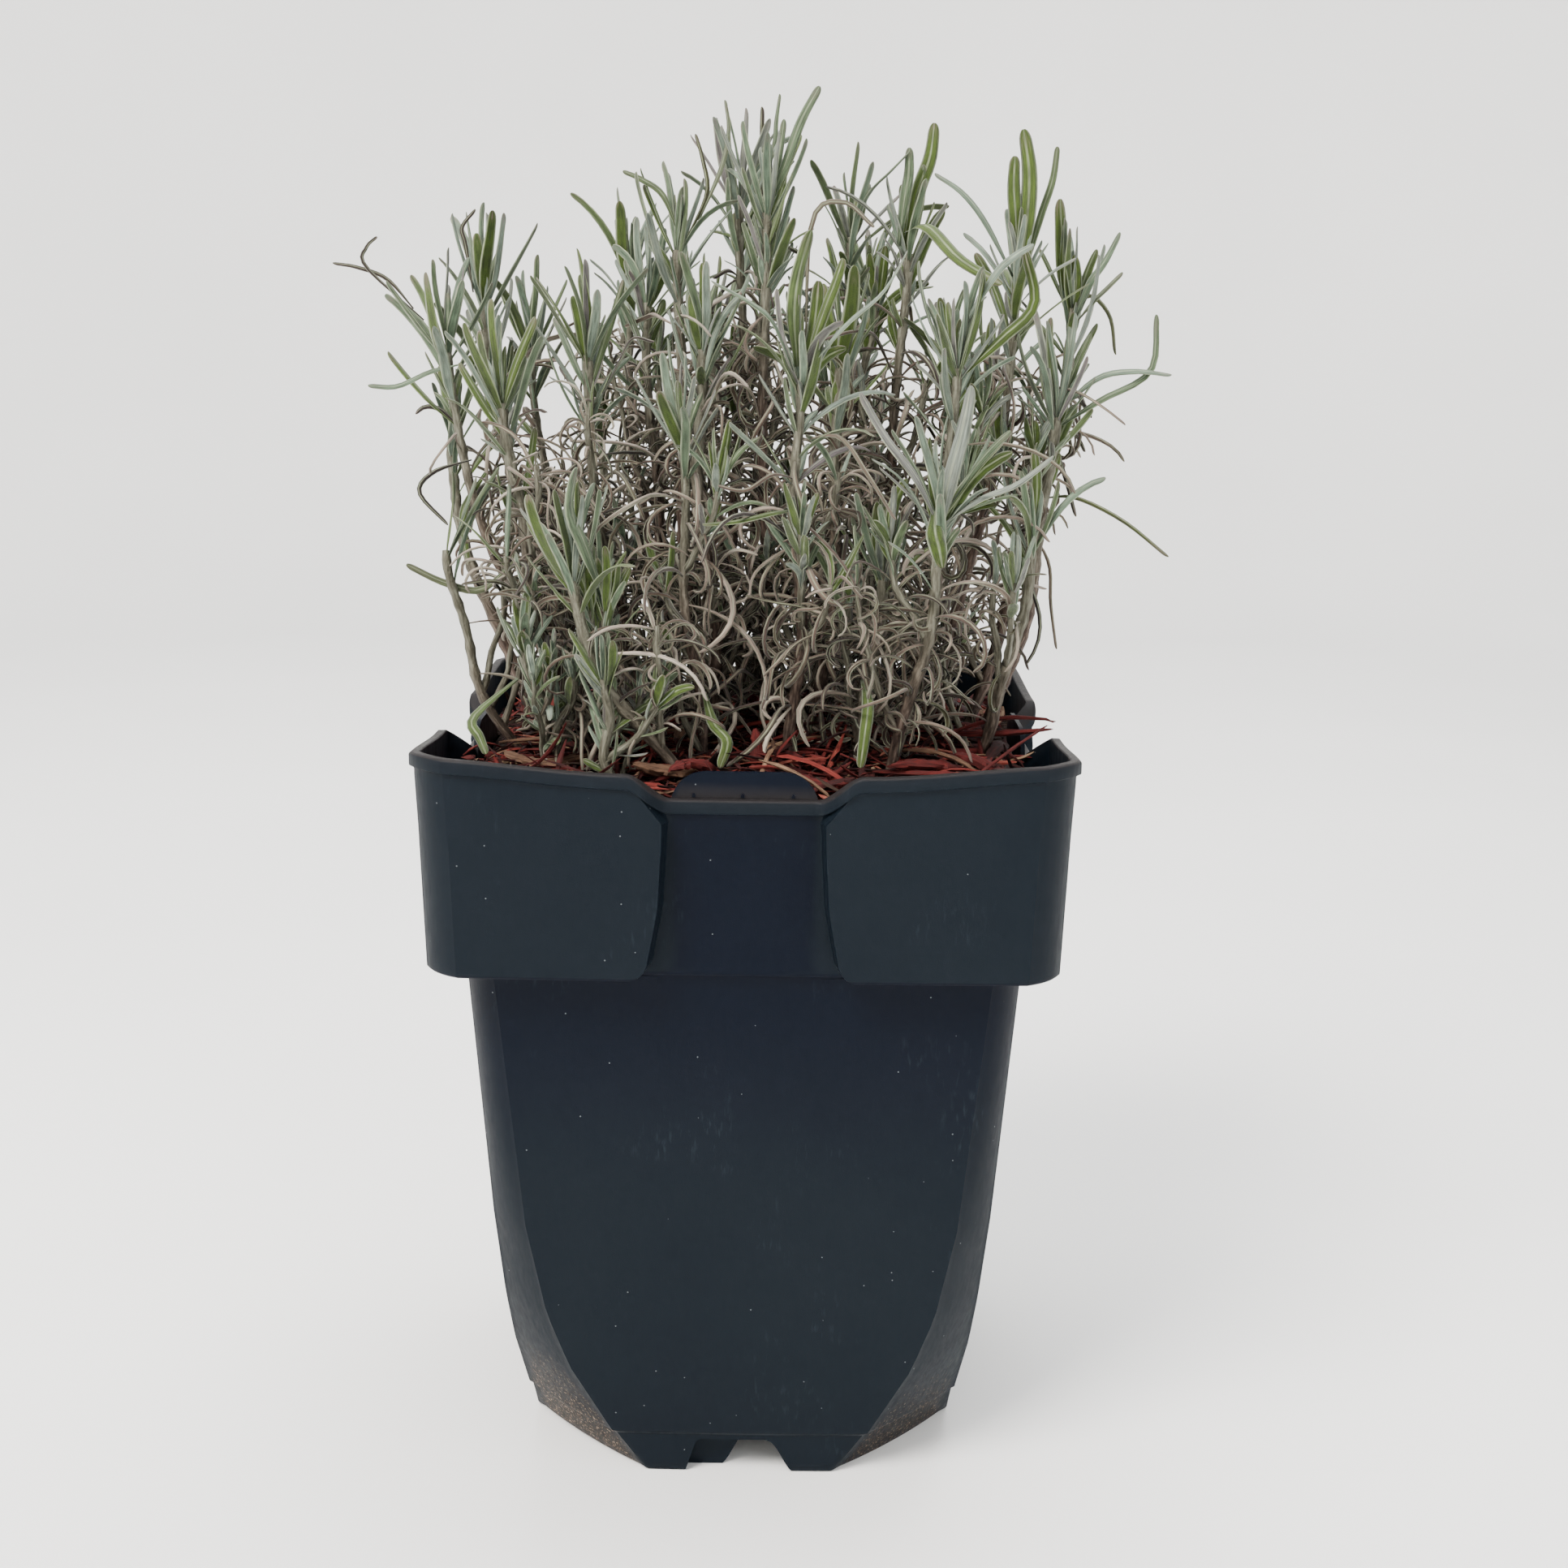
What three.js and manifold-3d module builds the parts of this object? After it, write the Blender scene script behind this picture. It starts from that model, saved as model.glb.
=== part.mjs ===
// Potted lavender: a bushy plant of leafy shoots in a square nursery pot, with bark mulch on its compost.
// Millimetres, +Z up. The origin is the centre of the pot's footprint, on the surface that it stands on,
// and -Y is the pot's front.
import * as THREE from 'three';
import { mergeVertices } from 'three/addons/utils/BufferGeometryUtils.js';
import Module from 'manifold-3d';

const wasm = await Module();
wasm.setup();

// ---------- Driving dimensions ----------

const POT = {
  height: 212, // top of the rim at a corner
  wall: 1.6,
  floorUnder: 11.6, // the base's underside, raised on the foot ring
  floorTop: 13.4,
  footStep: 12, // height of the line between the foot and the body
  collarBottom: 153,
  collarHalf: [83.1, 84.8], // half width of the corner panels, at their bottom and top
  collarCut: 9,
  middleHalf: [76, 78.6], // half width of the set-back middle of each side, at the same heights
  middleOpening: 19.4, // half width of that middle at the rim
  lipOut: 1.2, // how far the rim's lip stands out
  lipDepth: 3.6,
  panelRise: 3.5, // how much higher the rim is at a corner than at a panel's inner end
  dip: 11, // how far the rim dips in the middle of a side
  dipFrom: 19, // the dip's S-curve runs between these distances from the side's middle
  dipTo: 30,
  bow: 1.2, // how far a side bulges at its middle
};

// The body's half width, and how much of each corner is cut off, by height.
const BODY = [
  { z: 0, half: 61, cut: 34.5 },
  { z: POT.footStep, half: 61.9, cut: 27 },
  { z: POT.footStep + 1, half: 62.7, cut: 26.5 },
  { z: 34, half: 65.3, cut: 17.5 },
  { z: 51, half: 66.9, cut: 13 },
  { z: 78, half: 69.1, cut: 10 },
  { z: POT.collarBottom, half: 74, cut: 8 },
];

const TAB = { half: 18.6, topHalf: 11, rise: 7, thickness: 1.2 };
const FOOT = {
  ring: 8, // depth of the ring that the pot stands on
  recessLeft: -12.4, // the recess in each side of the foot runs from here to the arch
  recessTall: 10.5,
  recessDeep: 4,
  archAt: 5, // middle of the drainage arch
  archHalf: 6,
  archTall: 10.5,
};
const DRAIN = { radius: 4.5, out: 34 };
const GAP = 0.4; // clearance between pieces that touch

const COMPOST_TOP = 192;
const MULCH = { edge: 199, crown: 205, radius: 70 };
const PLANTED = 185; // how low the shoots reach into the compost
const STEM = { foot: 1.7, tip: 0.8, sides: 6, steps: 5 };
const LEAF = { thickness: 1.1, steps: 2 };
const SPREAD = { x: 118.5, y: 100 }; // how far the leaves reach from the middle of the pot

// ---------- Materials ----------

function matte(color, roughness = 0.85) {
  return new THREE.MeshStandardMaterial({ color, roughness, metalness: 0 });
}

const potPlastic = matte(0x29323b, 0.6);
const compost = matte(0x2a1d15, 1);
const dyedBark = matte(0x6b241c, 0.95);
const brownBark = matte(0x7d543c, 0.95);
const foliage = matte(0x7d8771, 0.8);

// ---------- Solids from vertices and faces ----------

function geometryOf(vertices, faces) {
  const geometry = new THREE.BufferGeometry();
  geometry.setAttribute('position', new THREE.Float32BufferAttribute(vertices.flat(), 3));
  geometry.setIndex(faces.flat());
  return geometry;
}

function solidOf(geometry) {
  const bare = geometry.clone();
  bare.deleteAttribute('normal');
  bare.deleteAttribute('uv');
  const merged = mergeVertices(bare, 1e-4);
  return new wasm.Manifold(new wasm.Mesh({
    numProp: 3,
    vertProperties: new Float32Array(merged.attributes.position.array),
    triVerts: new Uint32Array(merged.index.array),
  }));
}

function geometryFrom(solid) {
  const mesh = solid.getMesh();
  const points = [];
  for (let i = 0; i < mesh.vertProperties.length; i += mesh.numProp) {
    points.push([...mesh.vertProperties.subarray(i, i + 3)]);
  }
  return geometryOf(points, [[...mesh.triVerts]]).toNonIndexed();
}

// A closed solid lofted through rings of equal length, listed from the bottom up and counterclockwise
// from above, with a flat cap at each end.
function loft(rings) {
  const n = rings[0].length;
  const vertices = rings.flat();
  const faces = [];
  for (let r = 0; r + 1 < rings.length; r += 1) {
    for (let i = 0; i < n; i += 1) {
      const a = r * n + i;
      const b = r * n + ((i + 1) % n);
      faces.push([a, b, b + n], [a, b + n, a + n]);
    }
  }
  for (const [ring, up] of [[0, false], [rings.length - 1, true]]) {
    const z = rings[ring].reduce((sum, p) => sum + p[2], 0) / n;
    const centre = vertices.push([0, 0, z]) - 1;
    for (let i = 0; i < n; i += 1) {
      const a = ring * n + i;
      const b = ring * n + ((i + 1) % n);
      faces.push(up ? [centre, a, b] : [centre, b, a]);
    }
  }
  return geometryOf(vertices, faces);
}

// ---------- The pot ----------

function smoothstep(low, high, x) {
  const t = Math.min(1, Math.max(0, (x - low) / (high - low)));
  return t * t * (3 - 2 * t);
}

// The rim's top at a distance t from the middle of a side.
function rimHeight(t) {
  const out = Math.abs(t);
  const corner = POT.collarHalf[1];
  const panel = POT.height - POT.panelRise * (1 - smoothstep(POT.dipTo, corner, out));
  const dipped = POT.height - POT.dip;
  return dipped + (panel - dipped) * smoothstep(POT.dipFrom, POT.dipTo, out);
}

const CORNER_STEPS = [0.5, 0.67, 0.83];
const PANEL_SHARES = [0.24, 0.08];

// One ring round the pot. The panels stand at half, the middles at middle; cut is the corner's cut-off,
// opening the half width of a middle, and inward moves the whole ring in. heightAt gives z from t.
function ring({ half, middle = half, cut, opening = POT.middleOpening, inward = 0 }, heightAt) {
  const a = half - inward;
  const m = middle - inward;
  const c = Math.max(cut - inward * 0.6, 1);
  const inner = opening + inward;
  const bow = (t) => POT.bow * Math.cos((Math.PI / 2) * Math.min(1, Math.abs(t) / a));
  const corner = (share) => {
    const angle = (share * Math.PI) / 2;
    const straight = [-(a - c) - c * (1 - share), a - c * (1 - share)];
    const round = [-(a - c) - c * Math.cos(angle), a - c + c * Math.sin(angle)];
    return [(straight[0] + round[0]) / 2, (straight[1] + round[1]) / 2];
  };
  const step = inner + 1.4;
  const left = [
    ...CORNER_STEPS.map(corner),
    [-(a - c), a],
    ...PANEL_SHARES.map((share) => {
      const t = step + share * (a - c - step);
      return [-t, a + bow(t)];
    }),
    [-step, a + bow(step)],
    [-inner, m + bow(inner)],
    [-inner * 0.84, m + bow(inner * 0.84)],
  ];
  const side = [...left, [0, m + bow(0)]];
  side.push(...left.slice(1).reverse().map(([t, d]) => [-t, d]));
  const points = [];
  for (let k = 0; k < 4; k += 1) {
    const turn = (k * Math.PI) / 2;
    for (const [t, d] of side) {
      const x = t * Math.cos(turn) + d * Math.sin(turn);
      const y = t * Math.sin(turn) - d * Math.cos(turn);
      points.push([x, y, heightAt(t)]);
    }
  }
  return points;
}

function bodyRings() {
  return BODY.map((row) => ring(row, () => row.z));
}

// A panel's inner edge runs down and curves away outwards at its lower corner.
const PANEL_EDGE = [
  { z: POT.collarBottom, opening: 30 },
  { z: POT.collarBottom + 1.6, opening: 26.8 },
  { z: POT.collarBottom + 5.5, opening: 24.4 },
  { z: POT.collarBottom + 13, opening: 22.6 },
  { z: POT.collarBottom + 30, opening: 20.5 },
  { z: POT.height, opening: POT.middleOpening },
];

// The value of a named field at height z, between the rows of a table listed from the bottom up.
function tableAt(rows, z, field) {
  const below = rows.slice(1, -1).filter((row) => row.z < z).length;
  const [low, high] = [rows[below], rows[below + 1]];
  return low[field] + ((z - low.z) / (high.z - low.z)) * (high[field] - low[field]);
}

function bodyAt(z) {
  return { half: tableAt(BODY, z, 'half'), cut: tableAt(BODY, z, 'cut') };
}

function collarAt(z) {
  const t = (z - POT.collarBottom) / (POT.height - POT.collarBottom);
  const mix = ([low, high]) => low + t * (high - low);
  return {
    half: mix(POT.collarHalf),
    middle: mix(POT.middleHalf),
    cut: POT.collarCut,
    opening: tableAt(PANEL_EDGE, z, 'opening'),
  };
}

function collarRings() {
  return PANEL_EDGE.slice(0, -1).map(({ z }) => ring(collarAt(z), () => z));
}

// The rings of the pot's inside, or of a filling that keeps its distance from the walls, floor and ledges.
function innerRings(inward, lift) {
  const ledge = POT.collarBottom + POT.wall;
  const collar = [ledge + 0.2, ledge + 6, ledge + 28].map((z) => [z, collarAt(z)]);
  const { opening } = collarAt(ledge + 0.2);
  const body = [POT.floorTop, 34, 78, ledge - 0.2].map((z) => [z, { ...bodyAt(z), opening }]);
  return [...body, ...collar].map(([z, shape]) => ring({ ...shape, inward }, () => z + lift));
}

function rimRing(out, drop) {
  const top = collarAt(POT.height);
  return ring({ ...top, inward: -out }, (t) => rimHeight(t) - drop);
}

function potShell() {
  return solidOf(loft([
    ...bodyRings(),
    ...collarRings(),
    rimRing(0, POT.lipDepth + 0.6),
    rimRing(POT.lipOut, POT.lipDepth),
    rimRing(POT.lipOut, 0.6),
    rimRing(POT.lipOut - 0.7, 0),
    rimRing(-POT.wall, 0),
    rimRing(-POT.wall, POT.lipDepth),
    ...innerRings(POT.wall, 0).reverse(),
  ]));
}

function turned(solid, quarter) {
  return solid.rotate([0, 0, 90 * quarter]);
}

// The hollow under the base, inside the foot ring.
function underside() {
  const inside = (z) => ring({ ...bodyAt(z), inward: FOOT.ring }, () => z);
  const low = inside(0).map(([x, y]) => [x, y, -1]);
  return solidOf(loft([low, inside(POT.floorUnder)]));
}

// An arched opening through the foot ring, and the shallow recess to its left.
function footOpening() {
  const front = -bodyAt(0).half - 4;
  const { recessLeft: left, recessTall: tall, archAt, archHalf, archTall } = FOOT;
  const recess = new THREE.Shape();
  recess.moveTo(left - 3.4, -1);
  recess.lineTo(left - 0.6, tall - 2);
  recess.quadraticCurveTo(left, tall, left + 2.2, tall);
  recess.lineTo(archAt, tall);
  recess.lineTo(archAt, -1);
  const arch = new THREE.Shape();
  arch.moveTo(-archHalf - 5.4, -1);
  arch.bezierCurveTo(-archHalf - 1, 1, -archHalf, archTall, -archHalf * 0.3, archTall);
  arch.lineTo(archHalf * 0.3, archTall);
  arch.bezierCurveTo(archHalf, archTall, archHalf + 1, 1, archHalf + 5.4, -1);
  const cut = (shape, depth, shift) => {
    const geometry = new THREE.ExtrudeGeometry(shape, { depth, bevelEnabled: false, curveSegments: 4 });
    geometry.rotateX(Math.PI / 2);
    geometry.translate(shift, front + depth, 0);
    return solidOf(geometry);
  };
  return cut(recess, 4 + FOOT.recessDeep, 0).add(cut(arch, 10 + FOOT.ring, archAt));
}

// A label tab that stands on the rim's inner edge, in the dip of a side.
function labelTab() {
  const { half, topHalf, rise, thickness } = TAB;
  const foot = POT.height - POT.dip - 4;
  const shape = new THREE.Shape();
  shape.moveTo(-half, foot);
  shape.lineTo(-half, foot + 4.4);
  shape.quadraticCurveTo(-half + 2, foot + 4 + rise, -topHalf, foot + 4 + rise);
  shape.lineTo(topHalf, foot + 4 + rise);
  shape.quadraticCurveTo(half - 2, foot + 4 + rise, half, foot + 4.4);
  shape.lineTo(half, foot);
  const settings = { depth: thickness, bevelEnabled: false, curveSegments: 4 };
  const geometry = new THREE.ExtrudeGeometry(shape, settings);
  geometry.rotateX(Math.PI / 2);
  const face = collarAt(POT.height).middle + POT.bow - POT.wall;
  geometry.translate(0, thickness - face - 0.4, 0);
  return solidOf(geometry);
}

function makePot() {
  let pot = potShell().subtract(underside());
  for (let k = 0; k < 4; k += 1) {
    pot = pot.subtract(turned(footOpening(), k)).add(turned(labelTab(), k));
    const drain = new THREE.CylinderGeometry(DRAIN.radius, DRAIN.radius, 8, 10);
    drain.rotateX(Math.PI / 2);
    drain.translate(DRAIN.out, DRAIN.out, POT.floorTop);
    pot = pot.subtract(turned(solidOf(drain), k));
  }
  return pot;
}

// ---------- Compost and mulch ----------

// Wavy ground, from 0 at the pot's wall to 1 at the crown, with low heaps.
function ground(x, y) {
  const out = Math.min(1, Math.hypot(x, y) / MULCH.radius);
  const heaps = 1.1 * Math.sin(x / 9 + 1.3) * Math.cos(y / 8 - 0.4) + 0.8 * Math.sin((x + y) / 6);
  const rightHeap = 4 * Math.exp(-(((x - 62) / 20) ** 2) - ((y - 6) / 30) ** 2);
  return MULCH.edge + (MULCH.crown - MULCH.edge) * (1 - out * out) + heaps + rightHeap;
}

// A layer that fills the pot from the rings given up to its top surface, which is topAt(x, y).
function filling(rings, topAt) {
  const brim = ring({ ...collarAt(COMPOST_TOP), inward: POT.wall + GAP }, () => 0);
  const top = [1, 0.7, 0.35].map((share) => (
    brim.map(([x, y]) => [x * share, y * share, topAt(x * share, y * share)])
  ));
  return solidOf(loft([...rings, ...top]));
}

// ---------- Shoots ----------

// Each shoot: where it leaves the compost, where its growing tip is, and how many leaf pairs it carries.
const SHOOTS = [
  { foot: [-32, -20], tip: [-86, -5, 314], pairs: 6 },
  { foot: [-40, 2], tip: [-78, 14, 328], pairs: 5 },
  { foot: [-36, -32], tip: [-68, -24, 300], pairs: 5 },
  { foot: [-24, -14], tip: [-46, -12, 313], pairs: 5 },
  { foot: [-24, 18], tip: [-32, 24, 328], pairs: 5 },
  { foot: [-12, 0], tip: [-22, 0, 342], pairs: 6 },
  { foot: [-3, 14], tip: [-5, 14, 356], pairs: 6 },
  { foot: [4, -6], tip: [3, -6, 352], pairs: 6 },
  { foot: [15, 16], tip: [27, 18, 347], pairs: 6 },
  { foot: [26, 2], tip: [43, 4, 342], pairs: 6 },
  { foot: [44, -4], tip: [73, -2, 333], pairs: 6 },
  { foot: [56, 10], tip: [91, 14, 328], pairs: 5 },
  { foot: [68, 32], tip: [84, -14, 298], pairs: 5 },
  { foot: [38, -20], tip: [55, -30, 311], pairs: 6 },
  { foot: [11, -36], tip: [13, -44, 308], pairs: 6 },
  { foot: [18, -16], tip: [24, -14, 312], pairs: 5 },
  { foot: [35, -37], tip: [50, -52, 274], pairs: 5 },
  { foot: [-9, -18], tip: [-14, -20, 315], pairs: 5 },
  { foot: [-11, -33], tip: [-18, -36, 290], pairs: 4 },
  { foot: [-3, -46], tip: [-46, -56, 256], pairs: 4 },
  { foot: [-48, -28], tip: [-60, -44, 238], pairs: 4 },
  { foot: [-32, -46], tip: [-38, -58, 230], pairs: 4 },
  { foot: [-26, 36], tip: [-39, 46, 336], pairs: 5 },
  { foot: [50, 24], tip: [70, 34, 302], pairs: 5 },
  { foot: [24, -28], tip: [36, -34, 256], pairs: 4 },
  { foot: [0, 34], tip: [2, 44, 344], pairs: 5 },
  { foot: [24, 38], tip: [34, 50, 332], pairs: 5 },
  { foot: [-46, 28], tip: [-68, 40, 314], pairs: 5 },
  { foot: [44, 42], tip: [60, 60, 306], pairs: 5 },
  { foot: [-8, 50], tip: [-14, 66, 318], pairs: 5 },
  { foot: [-36, 50], tip: [-50, 68, 292], pairs: 5 },
  { foot: [18, 54], tip: [24, 68, 300], pairs: 5 },
  { foot: [-54, 10], tip: [-90, 22, 286], pairs: 5 },
  { foot: [-58, -8], tip: [-84, -26, 260], pairs: 4 },
  { foot: [60, -14], tip: [76, -34, 264], pairs: 4 },
];

// The long outer leaves that give the bush its outline: the shoot each grows from, and its line.
const LONG_LEAVES = [
  { shoot: 1, line: [[-91, -3, 307], [-101, -3, 320], [-111, -4, 332], [-118.5, -4, 335]] },
  { shoot: 1, line: [[-84, -9, 304], [-94, -12, 305], [-103, -14, 302], [-110, -14, 301]] },
  { shoot: 2, line: [[-77, 12, 324], [-80, 11, 334], [-83, 11, 342], [-80, 10, 351]] },
  { shoot: 13, line: [[86, -12, 294], [98, -14, 306], [110, -15, 311], [114, -15, 324]] },
  { shoot: 13, line: [[86, -14, 296], [98, -17, 305], [108, -18, 307], [118.5, -18, 307]] },
  { shoot: 13, line: [[83, -1, 270], [93, -6, 272], [106, -10, 266], [117, -12, 257]] },
  { shoot: 13, line: [[80, 8, 257], [86, 6, 256], [88, 4, 242], [89, 4, 229]] },
  { shoot: 8, line: [[4, -8, 350], [9, -10, 362], [14, -10, 374], [18, -9, 384]] },
  { shoot: 10, line: [[44, 3, 340], [47, 1, 352], [50, 0, 364], [52, 0, 375]] },
  { shoot: 11, line: [[74, -3, 330], [75, -5, 344], [76, -5, 358], [76, -5, 373]] },
  { shoot: 12, line: [[92, 13, 324], [99, 10, 324], [104, 9, 316], [106, 9, 305]] },
  { shoot: 15, line: [[13, -47, 302], [12, -62, 308], [10, -79, 305], [8, -100, 292]] },
  { shoot: 30, line: [[-14, 66, 312], [-16, 78, 320], [-18, 90, 322], [-19, 100, 320]] },
  { shoot: 34, line: [[-79, -20, 252], [-86, -24, 248], [-93, -27, 248], [-101, -30, 252]] },
];

// A repeatable number from 0 to 1 for a shoot and one of its parts.
function chance(i, j) {
  const s = Math.sin(i * 12.9898 + j * 78.233 + 4.1) * 43758.5453;
  return s - Math.floor(s);
}

// A stem leans outwards near its foot and straightens towards its tip.
function stemPoint({ foot, tip }, s) {
  const lean = 1 - (1 - s) ** 1.7;
  return new THREE.Vector3(
    foot[0] + (tip[0] - foot[0]) * lean,
    foot[1] + (tip[1] - foot[1]) * lean,
    PLANTED + (tip[2] - PLANTED) * s,
  );
}

// A tube along points, with a radius for each, closed by flat caps.
function tube(points, radii, sides) {
  const up = new THREE.Vector3(0, 0, 1);
  const vertices = [];
  points.forEach((point, i) => {
    const before = points[Math.max(0, i - 1)];
    const after = points[Math.min(points.length - 1, i + 1)];
    const turn = new THREE.Quaternion().setFromUnitVectors(up, after.clone().sub(before).normalize());
    for (let k = 0; k < sides; k += 1) {
      const angle = (2 * Math.PI * k) / sides;
      const spoke = new THREE.Vector3(Math.cos(angle), Math.sin(angle), 0).multiplyScalar(radii[i]);
      vertices.push(spoke.applyQuaternion(turn).add(point).toArray());
    }
  });
  return closedTube(vertices, points, sides);
}

// The faces of a tube whose rings are in vertices, with a point in the middle of each end.
function closedTube(vertices, points, sides) {
  const faces = [];
  for (let r = 0; r + 1 < points.length; r += 1) {
    for (let k = 0; k < sides; k += 1) {
      const a = r * sides + k;
      const b = r * sides + ((k + 1) % sides);
      faces.push([a, b, b + sides], [a, b + sides, a + sides]);
    }
  }
  const last = (points.length - 1) * sides;
  const foot = vertices.push(points[0].toArray()) - 1;
  const tip = vertices.push(points[points.length - 1].toArray()) - 1;
  for (let k = 0; k < sides; k += 1) {
    const next = (k + 1) % sides;
    faces.push([foot, next, k], [tip, last + k, last + next]);
  }
  return solidOf(geometryOf(vertices, faces));
}

function stemSolid(shoot, extra = 0) {
  const points = [];
  const radii = [];
  for (let i = 0; i <= STEM.steps; i += 1) {
    const s = i / STEM.steps;
    points.push(stemPoint(shoot, s));
    radii.push(STEM.foot + (STEM.tip - STEM.foot) * s + extra);
  }
  return tube(points, radii, STEM.sides);
}

// A leaf along points: a thin blade, three-sided in section, pointed at both ends.
function bladeSolid(points, width) {
  const vertices = [points[0].toArray()];
  const faces = [];
  for (let i = 1; i < points.length - 1; i += 1) {
    const along = points[i + 1].clone().sub(points[i - 1]).normalize();
    const across = new THREE.Vector3(0, 0, 1).cross(along);
    if (across.length() < 0.2) across.set(1, 0, 0).cross(along);
    across.setLength(width / 2);
    const under = across.clone().cross(along).setLength(LEAF.thickness);
    for (const shift of [across, across.clone().negate(), under]) {
      vertices.push(points[i].clone().add(shift).toArray());
    }
  }
  const tip = vertices.push(points[points.length - 1].toArray()) - 1;
  for (let k = 0; k < 3; k += 1) {
    const next = (k + 1) % 3;
    faces.push([0, 1 + next, 1 + k], [tip, tip - 3 + k, tip - 3 + next]);
    for (let row = 1; row + 3 < tip; row += 3) {
      faces.push([row + k, row + next, row + 3 + k], [row + 3 + k, row + next, row + 3 + next]);
    }
  }
  return solidOf(geometryOf(vertices, faces));
}

// The line of an ordinary leaf: it leaves the stem at an angle above the horizontal and bends down.
function leafLine(start, azimuth, rise, bend, length) {
  const points = [start.clone()];
  for (let i = 1; i <= LEAF.steps; i += 1) {
    const angle = rise - (bend * (i - 0.5)) / LEAF.steps;
    const step = new THREE.Vector3(
      Math.cos(azimuth) * Math.cos(angle),
      Math.sin(azimuth) * Math.cos(angle),
      Math.sin(angle),
    );
    points.push(points[i - 1].clone().addScaledVector(step, length / LEAF.steps));
  }
  return points;
}

// Leaves near the tip stand up in a tuft, and lower ones hang and bend.
function pairOf(shoot, index, pair) {
  const height = (pair + 0.6) / shoot.pairs;
  const s = 0.34 + 0.64 * height ** 0.75;
  const length = 24 + 11 * chance(index, pair);
  const rise = THREE.MathUtils.degToRad(8 + 58 * height);
  const bend = THREE.MathUtils.degToRad(75 - 62 * height);
  const turn = (pair * Math.PI) / 2 + index * 0.7 + 0.5 * chance(index, pair + 20);
  return { s, length, rise, bend, turn, width: 3.4 + height };
}

function touches(solid, others) {
  const box = solid.boundingBox();
  return others.some((other) => {
    const far = other.boundingBox();
    const apart = [0, 1, 2].some((k) => box.min[k] > far.max[k] || box.max[k] < far.min[k]);
    return !apart && solid.intersect(other).volume() > 0;
  });
}

function inside(solid) {
  const { min, max } = solid.boundingBox();
  const reach = [SPREAD.x + 0.5, SPREAD.y + 0.5];
  return [0, 1].every((k) => min[k] > -reach[k] && max[k] < reach[k]);
}

// Grows every shoot in turn. A leaf that would pass through its neighbours is turned until it is free.
function growShoots(fixed) {
  const grown = SHOOTS.map((shoot) => stemSolid(shoot));
  const free = (leaf, i) => inside(leaf) && !touches(leaf, [...fixed, ...grown.filter((_, k) => k !== i)]);
  for (const { shoot, line } of LONG_LEAVES) {
    const i = shoot - 1;
    const points = line.map((p) => new THREE.Vector3(...p));
    let nearest = stemPoint(SHOOTS[i], 0.98);
    for (let s = 0; s < 0.98; s += 0.02) {
      const at = stemPoint(SHOOTS[i], s);
      if (at.distanceTo(points[0]) < nearest.distanceTo(points[0])) nearest = at;
    }
    points[0] = nearest;
    const leaf = bladeSolid(points, 3.6);
    if (free(leaf, i)) grown[i] = grown[i].add(leaf);
  }
  SHOOTS.forEach((shoot, i) => {
    for (let pair = 0; pair < shoot.pairs; pair += 1) {
      const { s, length, rise, bend, turn, width } = pairOf(shoot, i, pair);
      for (const side of [0, Math.PI]) {
        const start = stemPoint(shoot, s);
        for (const aside of [0, 0.45, -0.45, 0.9, -0.9, 1.4]) {
          const leaf = bladeSolid(leafLine(start, turn + side + aside, rise, bend, length), width);
          if (!free(leaf, i)) continue;
          grown[i] = grown[i].add(leaf);
          break;
        }
      }
    }
  });
  return grown;
}

// ---------- Bark chips ----------

// Large pieces lying on the mulch: centre, size, turn about Z in degrees and tilt.
const CHIPS = [
  { at: [-22, -56], size: [17, 7, 3.5], turn: 12, tilt: 4, dyed: false },
  { at: [-14, -60], size: [15, 5, 3], turn: 38, tilt: 7, dyed: true },
  { at: [4, -56], size: [11, 4, 2.5], turn: 60, tilt: 12, dyed: true },
  { at: [22, -62], size: [20, 5, 3], turn: -18, tilt: 5, dyed: true },
  { at: [48, -50], size: [22, 6, 3], turn: 24, tilt: 6, dyed: true },
  { at: [62, -44], size: [18, 5, 3], turn: -40, tilt: 8, dyed: true },
  { at: [-58, -44], size: [20, 5, 2.5], turn: -30, tilt: 5, dyed: false },
  { at: [64, 58], size: [18, 6, 3], turn: 50, tilt: 5, dyed: true },
  { at: [-62, 56], size: [20, 6, 3], turn: -48, tilt: 6, dyed: true },
];

function chipSolid({ at: [x, y], size: [long, wide, thick], turn, tilt }) {
  const outline = new THREE.Shape();
  outline.moveTo(-long / 2, -wide * 0.3);
  outline.lineTo(-long * 0.2, -wide / 2);
  outline.lineTo(long * 0.36, -wide * 0.42);
  outline.lineTo(long / 2, wide * 0.1);
  outline.lineTo(long * 0.2, wide / 2);
  outline.lineTo(-long * 0.42, wide * 0.36);
  const chip = new THREE.ExtrudeGeometry(outline, { depth: thick, bevelEnabled: false });
  chip.rotateY(THREE.MathUtils.degToRad(tilt));
  chip.rotateZ(THREE.MathUtils.degToRad(turn));
  chip.translate(x, y, 0);
  return solidOf(chip);
}

// The chip, set down so that it just clears the mulch and whatever it would lie on.
function restingChip(chip, mulch, others) {
  const [x, y] = chip.at;
  const solid = chipSolid(chip);
  let lift = ground(x, y) - 1;
  while (touches(solid.translate([0, 0, lift]), [mulch, ...others])) lift += 0.4;
  return solid.translate([0, 0, lift + GAP / 2]);
}

// ---------- Assembly ----------

const plant = new THREE.Group();

function place(name, solid, material) {
  const geometry = geometryFrom(solid);
  geometry.computeVertexNormals();
  const mesh = new THREE.Mesh(geometry, material);
  mesh.name = name;
  plant.add(mesh);
}

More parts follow.
